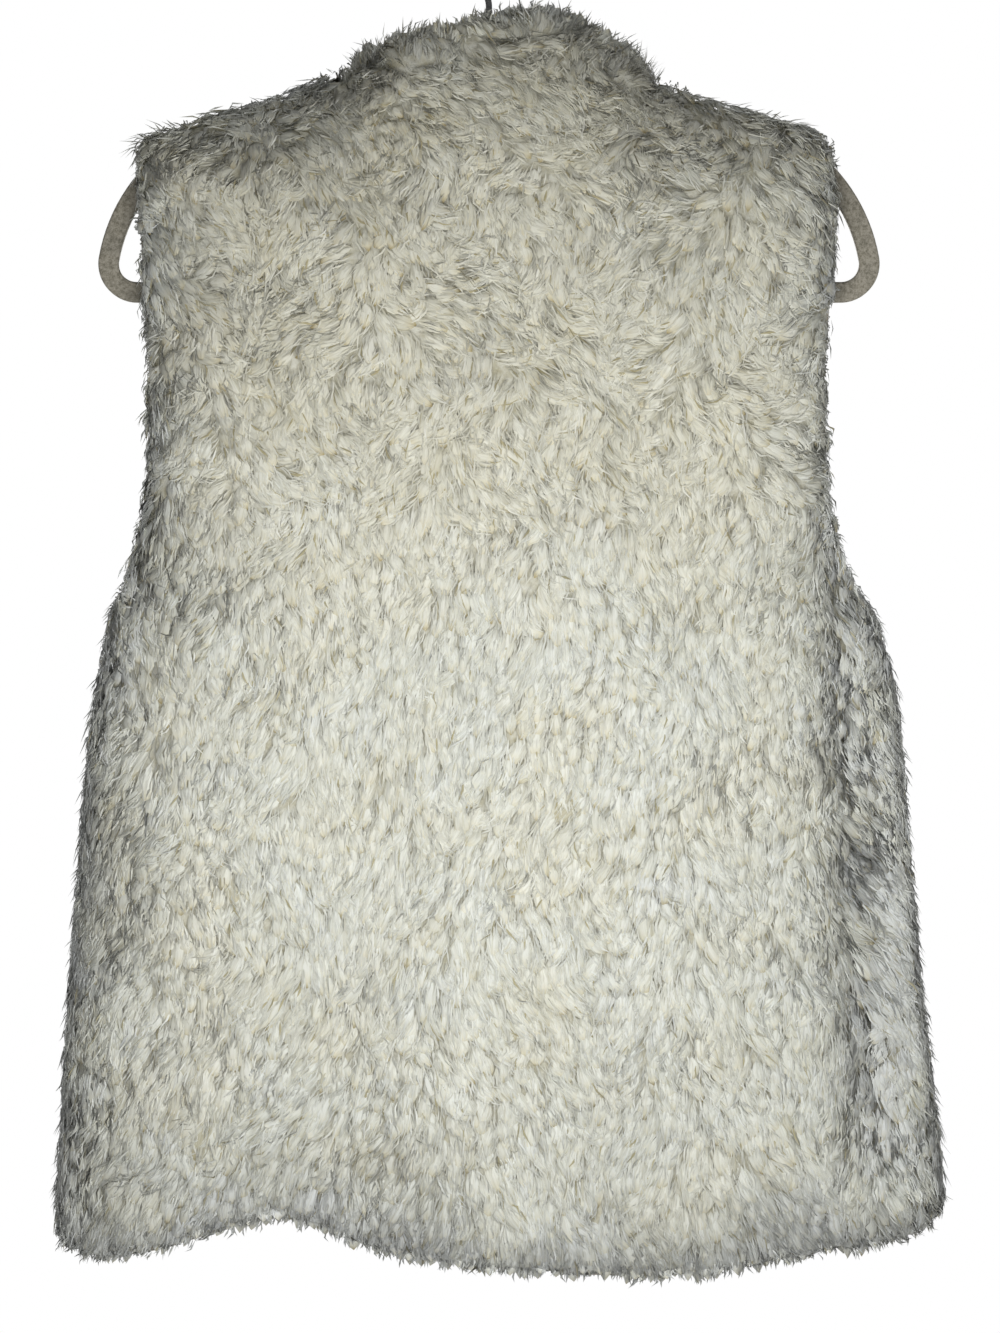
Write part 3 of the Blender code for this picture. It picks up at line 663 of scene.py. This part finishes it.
def tuftPaths(points, normals, node, edges, skin, rng):
    # places along each tuft on the fur side, with the outward and onward directions there
    count = len(points)
    scale = furSizes["spacing"][node] / furSizes["baseSpacing"]
    directions, facing, over = flowDirections(points, normals, node, edges)
    lengths = rng.uniform(*furSizes["length"], count) * scale
    lengths *= 1.0 + furSizes["lengthWaver"] * softNoise(points, 0.03, 41)
    spare = rng.uniform(*furSizes["overhang"], count)
    curl = rng.normal(0.0, 1.0, count) * lowToUpper(furSizes["curl"], points)
    curl *= 1.0 - flowSizes["hemCurl"] * hemShare(points, edges)
    steps = np.diff(tuftShares)
    stops = len(tuftShares)
    nearShare, nearMore = furSizes["nearSkin"]
    path = np.zeros((count, stops, 3))
    facings = np.zeros((count, stops, 3))
    headings = np.zeros((count, stops, 3))
    for i in range(count):
        heading = Vector(directions[i])
        face = Vector(facing[i])
        place = Vector(points[i])
        left = spare[i]
        if over[i]:
            # it starts inside the wall and ends just past the edge
            inside = lengths[i] * furSizes["insideShare"]
            place -= heading * inside
            left += inside
        path[i, 0] = place
        facings[i, 0] = face
        headings[i, 0] = heading
        for j, share in enumerate(steps):
            heading = (heading + face.cross(heading) * (curl[i] * share)).normalized()
            step = lengths[i] * share
            near = None
            if not over[i]:
                near, normal, _, _ = skin.find_nearest(place + heading * step, nearShare * step + nearMore)
            if near is not None:
                place = near
                face = (face + normal).normalized()
                heading = (heading - face * heading.dot(face)).normalized()
            else:
                step = min(step, max(left, furSizes["leastStep"]))
                left -= step
                place = place + heading * step
            path[i, j + 1] = place
            facings[i, j + 1] = face
            headings[i, j + 1] = heading
    return path, facings, headings


# faces whose corners lie lower than this are the underside, and its shade looks down this much
lowSide = -0.4
undersideShade = 0.8


def facesInOrder(mesh):
    # Blender lists a ball's faces in an order that changes from run to run, so they are sorted
    polygons = sorted(mesh.polygons, key=lambda p: sorted(p.vertices))
    return [tuple(p.vertices) for p in polygons], [k for p in polygons for k in p.loop_indices]


def drawnBall(sides, rings):
    # a small ball as a pattern for locks and strands: for each corner its ring and direction
    deselectAll()
    bpy.ops.mesh.primitive_uv_sphere_add(segments=sides, ring_count=rings, radius=1.0)
    ball = bpy.context.object
    mesh = ball.data
    places = cornersOf(mesh)
    levels = np.unique(np.round(-places[:, 2], 4))
    ring = np.array([int(np.argmin(np.abs(levels + z))) for z in places[:, 2]])
    # up is 1 on the ridge, and side runs across
    round_ = unitRows(places * (1.0, 1.0, 0.0))
    ends = (ring == 0) | (ring == rings)
    up = np.where(ends, 0.0, round_[:, 0])
    side = np.where(ends, 0.0, round_[:, 1])
    faces, loops = facesInOrder(mesh)
    under = []
    for face in faces:
        # the underside is the strip whose corners all lie low
        under.append(np.mean([up[k] for k in face if not ends[k]]) < lowSide)
    fibre = np.array([mesh.uv_layers.active.data[k].uv[:] for k in loops])
    bpy.data.objects.remove(ball)
    return {"ring": ring, "up": up, "side": side, "faces": faces, "under": under, "fibre": fibre}


def drawnSpindle():
    # a three-sided spindle as a pattern for strands, from its root to its tip
    deselectAll()
    bpy.ops.mesh.primitive_cone_add(vertices=3, radius1=1.0, depth=2.0, end_fill_type="TRIFAN")
    spindle = bpy.context.object
    mesh = spindle.data
    places = cornersOf(mesh)
    ring = np.where(places[:, 2] > 0.0, 2, np.where(np.hypot(places[:, 0], places[:, 1]) > 0.5, 1, 0))
    up = np.where(ring == 1, places[:, 1], 0.0)
    side = np.where(ring == 1, places[:, 0], 0.0)
    faces = [tuple(p.vertices) for p in mesh.polygons]
    loops = np.concatenate([np.array(face) for face in faces])
    under = [np.mean([up[k] for k in face if ring[k] == 1]) < lowSide for face in faces]
    fibre = np.stack([0.5 + 0.5 * side[loops], np.array((0.3, 0.6, 1.0))[ring[loops]]], axis=1)
    bpy.data.objects.remove(spindle)
    return {"ring": ring, "up": up, "side": side, "faces": faces, "under": under, "fibre": fibre}


lockBall = drawnBall(4, 5)
strandSpindle = drawnSpindle()


def drawnOut(ball, centre, facing, across, halfWidth, halfHeight, surface, own):
    # corners and normals of many balls drawn out along their paths
    ring = ball["ring"]
    places = (centre[:, ring]
              + across[:, ring] * (halfWidth[:, ring] * ball["side"])[..., None]
              + facing[:, ring] * (halfHeight[:, ring] * ball["up"])[..., None])
    rounding = across[:, ring] * ball["side"][:, None] + facing[:, ring] * ball["up"][:, None]
    loops = np.concatenate([np.array(face) for face in ball["faces"]])
    under = np.concatenate([np.full(len(face), low) for face, low in zip(ball["faces"], ball["under"])])
    top = surface[:, ring] + own * rounding
    beneath = rounding - undersideShade * facing[:, ring]
    normals = np.where(under[None, :, None], beneath[:, loops], top[:, loops])
    return places, unitRows(normals)


def trianglesOf(ball):
    return sum(len(face) - 2 for face in ball["faces"])


bakeCells = {"tones": 16, "warmths": 16, "margin": 0.06}


def inSteps(values, steps):
    # values from 0 to 1 as one of a few steps, so that strands alike in both share a cell of the map
    level = np.clip(np.floor(values * steps), 0, steps - 1)
    return level, (level + 0.5) / steps


def joinBalls(name, groups, material):
    # each group has one ball, and the places, normals, tones, warmths and streaks of its copies
    cells = bakeCells
    places, normals, loops, starts, fibres, tones, warmths, maps = [], [], [], [], [], [], [], []
    firstCorner = 0
    firstLoop = 0
    for ball, corners, loopNormals, tone, warmth, streaks in groups:
        count, size = corners.shape[:2]
        ballLoops = np.concatenate([np.array(face) for face in ball["faces"]])
        lengths = np.array([len(face) for face in ball["faces"]])
        ballStarts = np.concatenate([[0], np.cumsum(lengths)[:-1]])
        loops.append((ballLoops[None, :] + np.arange(count)[:, None] * size + firstCorner).ravel())
        starts.append((ballStarts[None, :] + np.arange(count)[:, None] * len(ballLoops) + firstLoop).ravel())
        places.append(corners.reshape(-1, 3))
        normals.append(loopNormals.reshape(-1, 3))
        fibres.append(np.tile(ball["fibre"] * (streaks, 1.0), (count, 1)))
        column, tone = inSteps(tone, cells["tones"])
        row, warmth = inSteps(warmth, cells["warmths"])
        if ball is lockBall:
            column = column + cells["tones"]
        inCell = cells["margin"] + (1.0 - 2.0 * cells["margin"]) * ball["fibre"]
        cell = np.stack([column, row], axis=1)[:, None] + inCell[None]
        maps.append((cell / (2 * cells["tones"], cells["warmths"])).reshape(-1, 2))
        tones.append(np.repeat(tone, size))
        warmths.append(np.repeat(warmth, size))
        firstCorner += count * size
        firstLoop += count * len(ballLoops)
    places, normals, loops, starts, fibres, tones, warmths, maps = (
        np.concatenate(part) for part in (places, normals, loops, starts, fibres, tones, warmths, maps))
    mesh = bpy.data.meshes.new(name)
    mesh.vertices.add(len(places))
    mesh.vertices.foreach_set("co", places.ravel())
    mesh.loops.add(len(loops))
    mesh.loops.foreach_set("vertex_index", loops.astype(np.int32))
    mesh.polygons.add(len(starts))
    mesh.polygons.foreach_set("loop_start", starts.astype(np.int32))
    mesh.update(calc_edges=True)
    mesh.uv_layers.new(name="fibre").data.foreach_set("uv", fibres.ravel())
    mesh.uv_layers.new(name="OFBake").data.foreach_set("uv", maps.ravel())
    mesh.attributes.new("tone", "FLOAT", "POINT").data.foreach_set("value", tones.astype(np.float32))
    mesh.attributes.new("warmth", "FLOAT", "POINT").data.foreach_set("value", warmths.astype(np.float32))
    mesh.shade_smooth()
    mesh.normals_split_custom_set(normals.tolist())
    mesh.materials.append(material)
    return addObject(name, mesh)


def domeNormals(facing, heading, across, aside, shares, tipTurn):
    # the soft round form of a whole tuft: it looks up in the middle and away at its sides and tip
    fromMiddle = np.clip(shares, 0.0, 1.0) - furSizes["facingAt"]
    return (facing + across * (furSizes["sideTurn"] * np.clip(aside, -1.0, 1.0))[..., None]
            + heading * (tipTurn * fromMiddle)[..., None])


def alongTuft(values, shares):
    # values at the tufts' own stops, read at other shares of the way for each tuft
    at = np.clip(np.searchsorted(tuftShares, shares, side="right") - 1, 0, len(tuftShares) - 2)
    first, last = tuftShares[at], tuftShares[at + 1]
    part = np.clip((shares - first) / (last - first), 0.0, 1.0)
    row = np.arange(len(values))[:, None]
    if values.ndim == 3:
        part = part[..., None]
    return values[row, at] * (1.0 - part) + values[row, at + 1] * part


def atFreeEdge(points, normals, node):
    # true on the narrow faces of the hem, the neck, the front edges and the armholes
    side, low = furSizes["armhole"]
    free = (awayFromInside(points, node) * normals).sum(axis=1) < flowSizes["freeEdge"]
    if node != "collar":
        free |= (np.abs(points[:, 0]) > side) & (points[:, 2] > low) & (np.abs(normals[:, 0]) > 0.8)
    return free


def edgeKind(place, node):
    if node == "collar":
        return "collar"
    if abs(place.y) >= furSizes["seamNear"]:
        return "hem" if place.z < furSizes["hem"] else "rim"
    return "shoulder" if place.z > furSizes["shoulder"] else "side"


def roundedEdges(points, normals, node, edges):
    # how far the fur's soft surface turns towards the nearest edge or side seam
    rounding = furSizes["edgeRounding"]
    lean = np.zeros_like(points)
    rim = atFreeEdge(points, normals, node)
    for i, point in enumerate(points):
        near, _, gap = edges.find(Vector(point))
        amount, reach, onEdge = rounding[edgeKind(near, node)]
        if rim[i]:
            lean[i] = normals[i] * onEdge
        elif gap > 0.0005:
            lean[i] = (np.array(near) - point) / gap * amount * math.exp(-gap / reach)
    return lean[:, None, :]


def billows(points):
    # the pile rises and falls a little over a few tufts
    reach, amount = furSizes["billow"]
    rows = np.stack([softNoise(points, reach, seed) for seed in (81, 82, 83)], axis=1)
    return amount * rows[:, None, :]


def evenedOut(points, normals, node):
    # the turn from each place's own direction to the mean one round it
    reach, amount = furSizes["softening"]
    inner = np.nonzero(~atFreeEdge(points, normals, node))[0]
    tree = treeOf(points, inner)
    turned = np.zeros_like(points)
    for i in inner:
        near = [found[1] for found in tree.find_range(Vector(points[i]), reach)]
        turned[i] = normals[near].mean(axis=0) - normals[i]
    return amount * turned[:, None, :]


def growFur(node, name, points, normals, evened, edges, skin, rng):
    sizes = furSizes
    part = "collar" if node == "collar" else "body"
    scale = sizes["spacing"][node] / sizes["baseSpacing"]
    path, facing, heading = tuftPaths(points, normals, node, edges, skin, rng)
    across = unitRows(np.cross(facing, heading))
    inner = meshTree(hollowSides[node])
    room = np.array([inner.find_nearest(Vector(p))[3] for p in points])
    count = len(points)
    # a tuft that is cut short at an edge still narrows to a point there
    steps = np.linalg.norm(np.diff(path, axis=1), axis=2)
    lengths = steps.sum(axis=1)
    reached = np.concatenate([0.0 * lengths[:, None], np.cumsum(steps, axis=1)], axis=1) / lengths[:, None]
    halfWidth = rng.uniform(*sizes["halfWidth"], count)[:, None] * scale
    halfWidth = halfWidth * np.interp(reached, tuftShares, lockWidths)
    halfHeight = sizes["halfHeight"] * np.interp(reached, tuftShares, lockHeights)
    puffReach, evenly, atRandom = sizes["puff"]
    puff = evenly * softNoise(points, puffReach, 51) + rng.normal(0.0, atRandom, count)
    middles = lockMiddles * (1.0 - sizes["puffDepth"] * puff)[:, None]
    middles = np.maximum(middles, -(room[:, None] - sizes["overBacking"]))
    middle, tuftSpread, strandSpread = sizes["tones"]
    tuftTone = np.clip(middle + tuftSpread * rng.normal(size=count), 0.1, 1.0)
    paintedPartingShade = lowToUpper(sizes["paintedPartingShade"], points)
    edgeGap = edgeDistances(points, edges)
    evenly, atRandom = sizes["warmthWaver"]
    warmth = lowToUpper(sizes["warmth"], points) + evenly * softNoise(points, 0.030, 71)
    # near an edge the colour is cooled as painted shade
    edgeShadeCooling, coolReach = sizes["edgeShadeTint"]
    warmth += rng.normal(0.0, atRandom, count) - edgeShadeCooling * np.exp(-edgeGap / coolReach)
    warmth = np.clip(warmth, 0.0, 1.0)
    centre = path + facing * middles[..., None]
    lean = roundedEdges(points, normals, node, edges) + billows(points) + evened
    tipTurn = lowToUpper(sizes["tipTurn"], points)[:, None]
    shares = np.tile(tuftShares, (count, 1))
    dome = domeNormals(facing + lean, heading, across, np.zeros_like(shares), shares, tipTurn)
    lockPlaces, lockNormals = drawnOut(lockBall, centre, facing, across,
                                       halfWidth, halfHeight, dome, sizes["lockRound"])
    lockStreaks, strandStreaks = sizes["streaks"]
    groups = [(lockBall, lockPlaces, lockNormals, tuftTone, warmth, lockStreaks)]

    fromCorner = np.linalg.norm(points - sizes["wispCorner"], axis=1)
    wispy = np.exp(-(fromCorner / sizes["wispReach"]) ** 2)
    rarity = sizes["tallRarity"][0] - sizes["tallRarity"][1] * wispy
    tallest = sizes["tallest"][part] * (1.0 + sizes["wispGain"] * wispy)

    # fine strands that start and end at places of their own, so that tufts run into each other
    mostOver = np.clip((edgeGap - sizes["nearEdge"]) / lengths, sizes["leastOver"], 1.0)
    tops = middles + halfHeight + sizes["above"]
    for _ in range(sizes["strands"][node]):
        aside = rng.uniform(*sizes["aside"], count)
        begin = rng.uniform(*sizes["strandStart"], count)
        finish = np.minimum(begin + rng.uniform(*sizes["strandLength"], count), 1.0 + mostOver)
        shares = np.stack([begin, begin * 0.45 + finish * 0.55, finish], axis=1)
        swerve = np.cumsum(rng.normal(0.0, sizes["swerve"], (count, 3)), axis=1)
        sideways = (aside * sizes["strandReach"] * scale)[:, None] * (1.0, 1.0, 0.85) + swerve
        onward = (shares - np.clip(shares, 0.0, 1.0)) * lengths[:, None]
        tall = rng.random(count) ** rarity * tallest
        lift = np.stack([rng.uniform(low, high, count) for low, high in sizes["lifts"]], axis=1)
        lift += tall[:, None] * sizes["tallShares"]
        dip = sizes["halfHeight"] * np.clip(aside ** 2, 0.0, 1.0)[:, None]
        height = np.maximum(alongTuft(tops, shares) - dip, sizes["floor"]) + lift
        face, ahead, beside = (alongTuft(way, shares) for way in (facing, heading, across))
        line = (alongTuft(path, shares) + beside * sideways[..., None]
                + ahead * onward[..., None] + face * height[..., None])
        width = rng.uniform(*sizes["strandWidth"], count)[:, None] * scale * (0.0, 0.5, 0.0)
        swayReach, swayAmount = sizes["sway"]
        sway = (beside * (swayAmount * softNoise(line[:, 1], swayReach, 61))[:, None, None]
                + ahead * (swayAmount * softNoise(line[:, 1], swayReach, 62))[:, None, None])
        asides = np.tile(aside[:, None], (1, 3))
        form = domeNormals(face + lean, ahead, beside, asides, shares, tipTurn) + sway
        corners, cornerNormals = drawnOut(strandSpindle, line, face, beside,
                                          width, width * sizes["strandFlatness"], form, sizes["strandRound"])
        tone = np.clip(tuftTone + rng.normal(0.0, strandSpread, count), 0.1, 1.0)
        # some strands are painted in the dark shade where the pile parts
        tone[rng.random(count) < paintedPartingShade] = 0.0
        groups.append((strandSpindle, corners, cornerNormals, tone, warmth, strandStreaks))
    return joinBalls(name, groups, fur)


def skinOfAll():
    vertices = []
    faces = []
    for node in clothNodes:
        first = len(vertices)
        mesh = furSides[node].data
        vertices.extend(v.co.copy() for v in mesh.vertices)
        faces.extend(tuple(first + i for i in p.vertices) for p in mesh.polygons)
    return BVHTree.FromPolygons(vertices, faces)


def drawUpHem(obj):
    # the cloth ends a little above the fringe of its fur, in a slightly uneven line
    mesh = obj.data
    places = cornersOf(mesh)
    share = np.clip((hemSizes["from"] - places[:, 2]) / hemSizes["zone"], 0.0, 1.0) ** 2
    along = places * (1.0, 1.0, 0.0)
    waves = softNoise(along, 0.034, 91) + 0.7 * softNoise(along, 0.012, 92)
    places[:, 2] += share * (hemSizes["rise"] + hemSizes["waves"] * waves)
    mesh.vertices.foreach_set("co", places.ravel())
    mesh.update()


def closeSeam(obj):
    # the panels' cloth meets in the side and shoulder seams, without the source's gap
    for vertex in obj.data.vertices:
        if abs(vertex.co.y) < clothSizes["seamHalf"]:
            vertex.co.y = 0.0


for node in clothNodes:
    finer = furSides[node].modifiers.new("finer", "SUBSURF")
    finer.levels = finer.render_levels = 1
    applyModifiers(furSides[node])
    if node != "collar":
        closeSeam(hollowSides[node])
        drawUpHem(furSides[node])
        drawUpHem(hollowSides[node])
skin = skinOfAll()

pieces = {}
furPieces = {}
pieceNames = {
    "back_panel": "back",
    "left_front": "leftFront",
    "right_front": "rightFront",
    "collar": "collar",
}
trianglesInPiece = 190000   # a piece stays under 200,000, so a large panel's fur is laid in bands
rng = np.random.default_rng(7)
planted = {}
edgePlaces = []
for node in clothNodes:
    points, normals = scatter(furSides[node], furSizes["spacing"][node], rng)
    planted[node] = (points, normals)
    edge = atFreeEdge(points, normals, node)
    if node != "collar":
        edge |= np.abs(points[:, 1]) < furSizes["seamNear"]
    edgePlaces.extend(points[edge])
edges = treeOf(edgePlaces, range(len(edgePlaces)))
for node in clothNodes:
    pieces[node] = makeSheet(node, pieceNames[node] + "Cloth", skin)
    points, normals = planted[node]
    evened = evenedOut(points, normals, node)
    order = np.argsort(-points[:, 2])
    inTuft = trianglesOf(lockBall) + trianglesOf(strandSpindle) * furSizes["strands"][node]
    bands = math.ceil(len(order) * inTuft / trianglesInPiece)
    furPieces[node] = []
    for number, chosen in enumerate(np.array_split(order, bands)):
        name = pieceNames[node] + "Fur" + (str(number + 1) if bands > 1 else "")
        furPieces[node].append(growFur(node, name, points[chosen], normals[chosen], evened[chosen],
                                      edges, skin, rng))
print("fur grown")

for obj in list(furSides.values()) + list(hollowSides.values()):
    bpy.data.objects.remove(obj)


# Hanger: a flat flocked frame with round ends, and its wire hook

hangerSizes = {
    "top": -0.088,
    "thickness": 0.0060,
    "rounding": 0.0016,
    "barWidth": 0.0115,
    "neckHalf": 0.009,
    "neckDepth": 0.019,
    "armSlope": math.radians(15.1),
    "armLength": 0.1728,
    "bends": ((0.048, math.radians(50.0)), (0.1008, math.radians(80.0)), (0.022, math.pi)),
    "arcStep": math.radians(3.0),
    "footNarrowing": 0.002,     # the neck's foot is this much narrower on each side
}
smoothAngle = math.radians(40.0)


def hangerEdge(inset):
    sizes = hangerSizes
    heading = sizes["armSlope"]
    x = sizes["neckHalf"] - inset * math.sin(heading)
    z = sizes["top"] - inset * math.cos(heading)
    points = [(x, z)]
    x += sizes["armLength"] * math.cos(heading)
    z -= sizes["armLength"] * math.sin(heading)
    points.append((x, z))
    for radius, until in sizes["bends"]:
        radius -= inset
        steps = math.ceil((until - heading) / sizes["arcStep"])
        angle = (until - heading) / steps
        centreX = x - radius * math.sin(heading)
        centreZ = z - radius * math.cos(heading)
        for _ in range(steps):
            heading += angle
            x = centreX + radius * math.sin(heading)
            z = centreZ + radius * math.cos(heading)
            points.append((x, z))
    return points


def addSpline(curve, places, closed=False):
    spline = curve.splines.new("POLY")
    spline.points.add(len(places) - 1)
    for point, place in zip(spline.points, places):
        point.co = (*place, 1.0)
    spline.use_cyclic_u = closed


def curveToMesh(obj, material):
    pick(obj)
    bpy.ops.object.convert(target="MESH")
    bpy.ops.object.transform_apply(location=True, rotation=True, scale=True)
    solid = bpy.context.object
    mergeCorners(solid, outward=True)
    bpy.ops.object.shade_smooth_by_angle(angle=smoothAngle)
    solid.data.materials.clear()
    solid.data.materials.append(material)
    return solid


def makeHanger():
    sizes = hangerSizes
    outline = hangerEdge(0.0)
    outline.extend((-x, z) for x, z in reversed(outline))
    hole = [(x, z) for x, z in hangerEdge(sizes["barWidth"]) if x > sizes["neckHalf"]]
    armUnder = hole[0][1] + (hole[0][0] - sizes["neckHalf"]) * math.tan(sizes["armSlope"])
    hole.insert(0, (sizes["neckHalf"], armUnder))
    hole.insert(0, (sizes["neckHalf"] - sizes["footNarrowing"], sizes["top"] - sizes["neckDepth"]))
    hole.extend((-x, z) for x, z in reversed(hole))
    curve = bpy.data.curves.new("hanger", "CURVE")
    curve.dimensions = "2D"
    curve.fill_mode = "BOTH"
    curve.extrude = 0.5 * sizes["thickness"] - sizes["rounding"]
    curve.bevel_depth = sizes["rounding"]
    curve.bevel_resolution = 3
    curve.offset = -sizes["rounding"]
    for points in (outline, hole):
        addSpline(curve, [(x, z, 0.0) for x, z in points], closed=True)
    hanger = addObject("hanger", curve)
    hanger.rotation_euler = (math.pi / 2.0, 0.0, 0.0)
    return curveToMesh(hanger, flock)


hookSizes = {
    "wireRadius": 0.0018,
    "innerRadius": 0.020,
    "bendRadius": 0.014,
    "tipAngle": math.radians(214.0),
    "foot": -0.0877,
    "step": math.radians(5.0),
}


def makeHook():
    sizes = hookSizes
    radius = sizes["innerRadius"] + sizes["wireRadius"]
    centreZ = -sizes["innerRadius"]
    rise = math.sqrt(radius * radius + 2.0 * radius * sizes["bendRadius"])
    stemTop = centreZ - rise
    join = math.atan2(-rise, sizes["bendRadius"])
    points = [(0.0, sizes["foot"]), (0.0, stemTop)]
    bend = math.pi + join
    steps = math.ceil(bend / sizes["step"])
    for k in range(1, steps):
        turned = bend * k / steps
        x = sizes["bendRadius"] * (1.0 - math.cos(turned))
        points.append((x, stemTop + sizes["bendRadius"] * math.sin(turned)))
    sweep = sizes["tipAngle"] - join
    steps = math.ceil(sweep / sizes["step"])
    for k in range(steps + 1):
        angle = join + sweep * k / steps
        points.append((radius * math.cos(angle), centreZ + radius * math.sin(angle)))
    curve = bpy.data.curves.new("hook", "CURVE")
    curve.dimensions = "3D"
    curve.bevel_depth = sizes["wireRadius"]
    curve.bevel_resolution = 4
    curve.use_fill_caps = True
    addSpline(curve, [(x, 0.0, z) for x, z in points])
    return curveToMesh(addObject("hook", curve), wire)


hanger = makeHanger()
hook = makeHook()
print("hanger made")


# Each piece hangs from the root body, and the imported part that it stands in for is hidden

for node in clothNodes:
    sheet = pieces[node]
    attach(sheet, "root")
    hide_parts(node)
    for piece in furPieces[node]:
        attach(piece, "root")
for piece, node, slotName in ((hanger, "hanger_frame", "flock"), (hook, "hanger_hook", "wire")):
    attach(piece, "root")
    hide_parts(node)


# Stage, lights and camera

stageSizes = {
    "floorSize": 2.4,
    "floorHeight": -1.3,
    "floorColour": (0.86, 0.86, 0.85),
    "worldStrength": 0.07,
    # watts, size, place, and the place that the light looks at
    "keyLight": (4.64, 0.45, (-0.015, 0.72, -0.505), (0.0, 0.0, -0.505)),
    "frontLight": (15.0, 0.40, (0.0, -1.5, -0.10), (0.0, 0.0, -0.42)),
    "rightLight": (2.2, 0.50, (-1.3, 0.35, -0.45), (0.0, 0.0, -0.45)),
    "leftLight": (1.8, 0.50, (1.1, -0.80, -0.45), (0.0, 0.0, -0.45)),
    "topLight": (1.2, 0.50, (0.0, 0.05, 0.75), (0.0, 0.0, -0.10)),
}


def areaLight(name):
    energy, size, place, target = stageSizes[name]
    light = bpy.data.lights.new(name, "AREA")
    light.energy = energy
    light.size = size
    lamp = addObject(name, light)
    lamp.location = place
    lamp.rotation_euler = (Vector(target) - Vector(place)).to_track_quat("-Z", "Y").to_euler()
    lamp.visible_camera = False


deselectAll()
bpy.ops.mesh.primitive_plane_add(size=stageSizes["floorSize"],
                                 location=(0.0, 0.0, stageSizes["floorHeight"]))
floor = bpy.context.object
floor.name = "floor"
floorLook, _, floorShader = newMaterial("paleFloor", 0.9)
floorShader.inputs["Base Color"].default_value = (*stageSizes["floorColour"], 1.0)
floor.data.materials.append(floorLook)

for name in ("keyLight", "frontLight", "rightLight", "leftLight", "topLight"):
    areaLight(name)

world = bpy.data.worlds.new("studio")
world.use_nodes = True
bpy.context.scene.world = world
sky = world.node_tree
background = sky.nodes["Background"]
background.inputs["Color"].default_value = (1.0, 1.0, 1.0, 1.0)
seen = addNode(sky, "ShaderNodeLightPath")
strength = addNode(sky, "ShaderNodeMapRange", {"To Min": stageSizes["worldStrength"], "To Max": 1.0})
sky.links.new(seen.outputs["Is Camera Ray"], strength.inputs["Value"])
sky.links.new(strength.outputs["Result"], background.inputs["Strength"])

cameraSizes = {"place": (-0.0063, 1.5, -0.4291), "lens": 71.07}
camera = addObject("camera", bpy.data.cameras.new("camera"))
camera.data.lens = cameraSizes["lens"]
camera.location = cameraSizes["place"]
camera.rotation_euler = (math.pi / 2.0, 0.0, math.pi)
bpy.context.scene.camera = camera
bpy.context.scene.view_settings.view_transform = "Standard"
print("stage set")
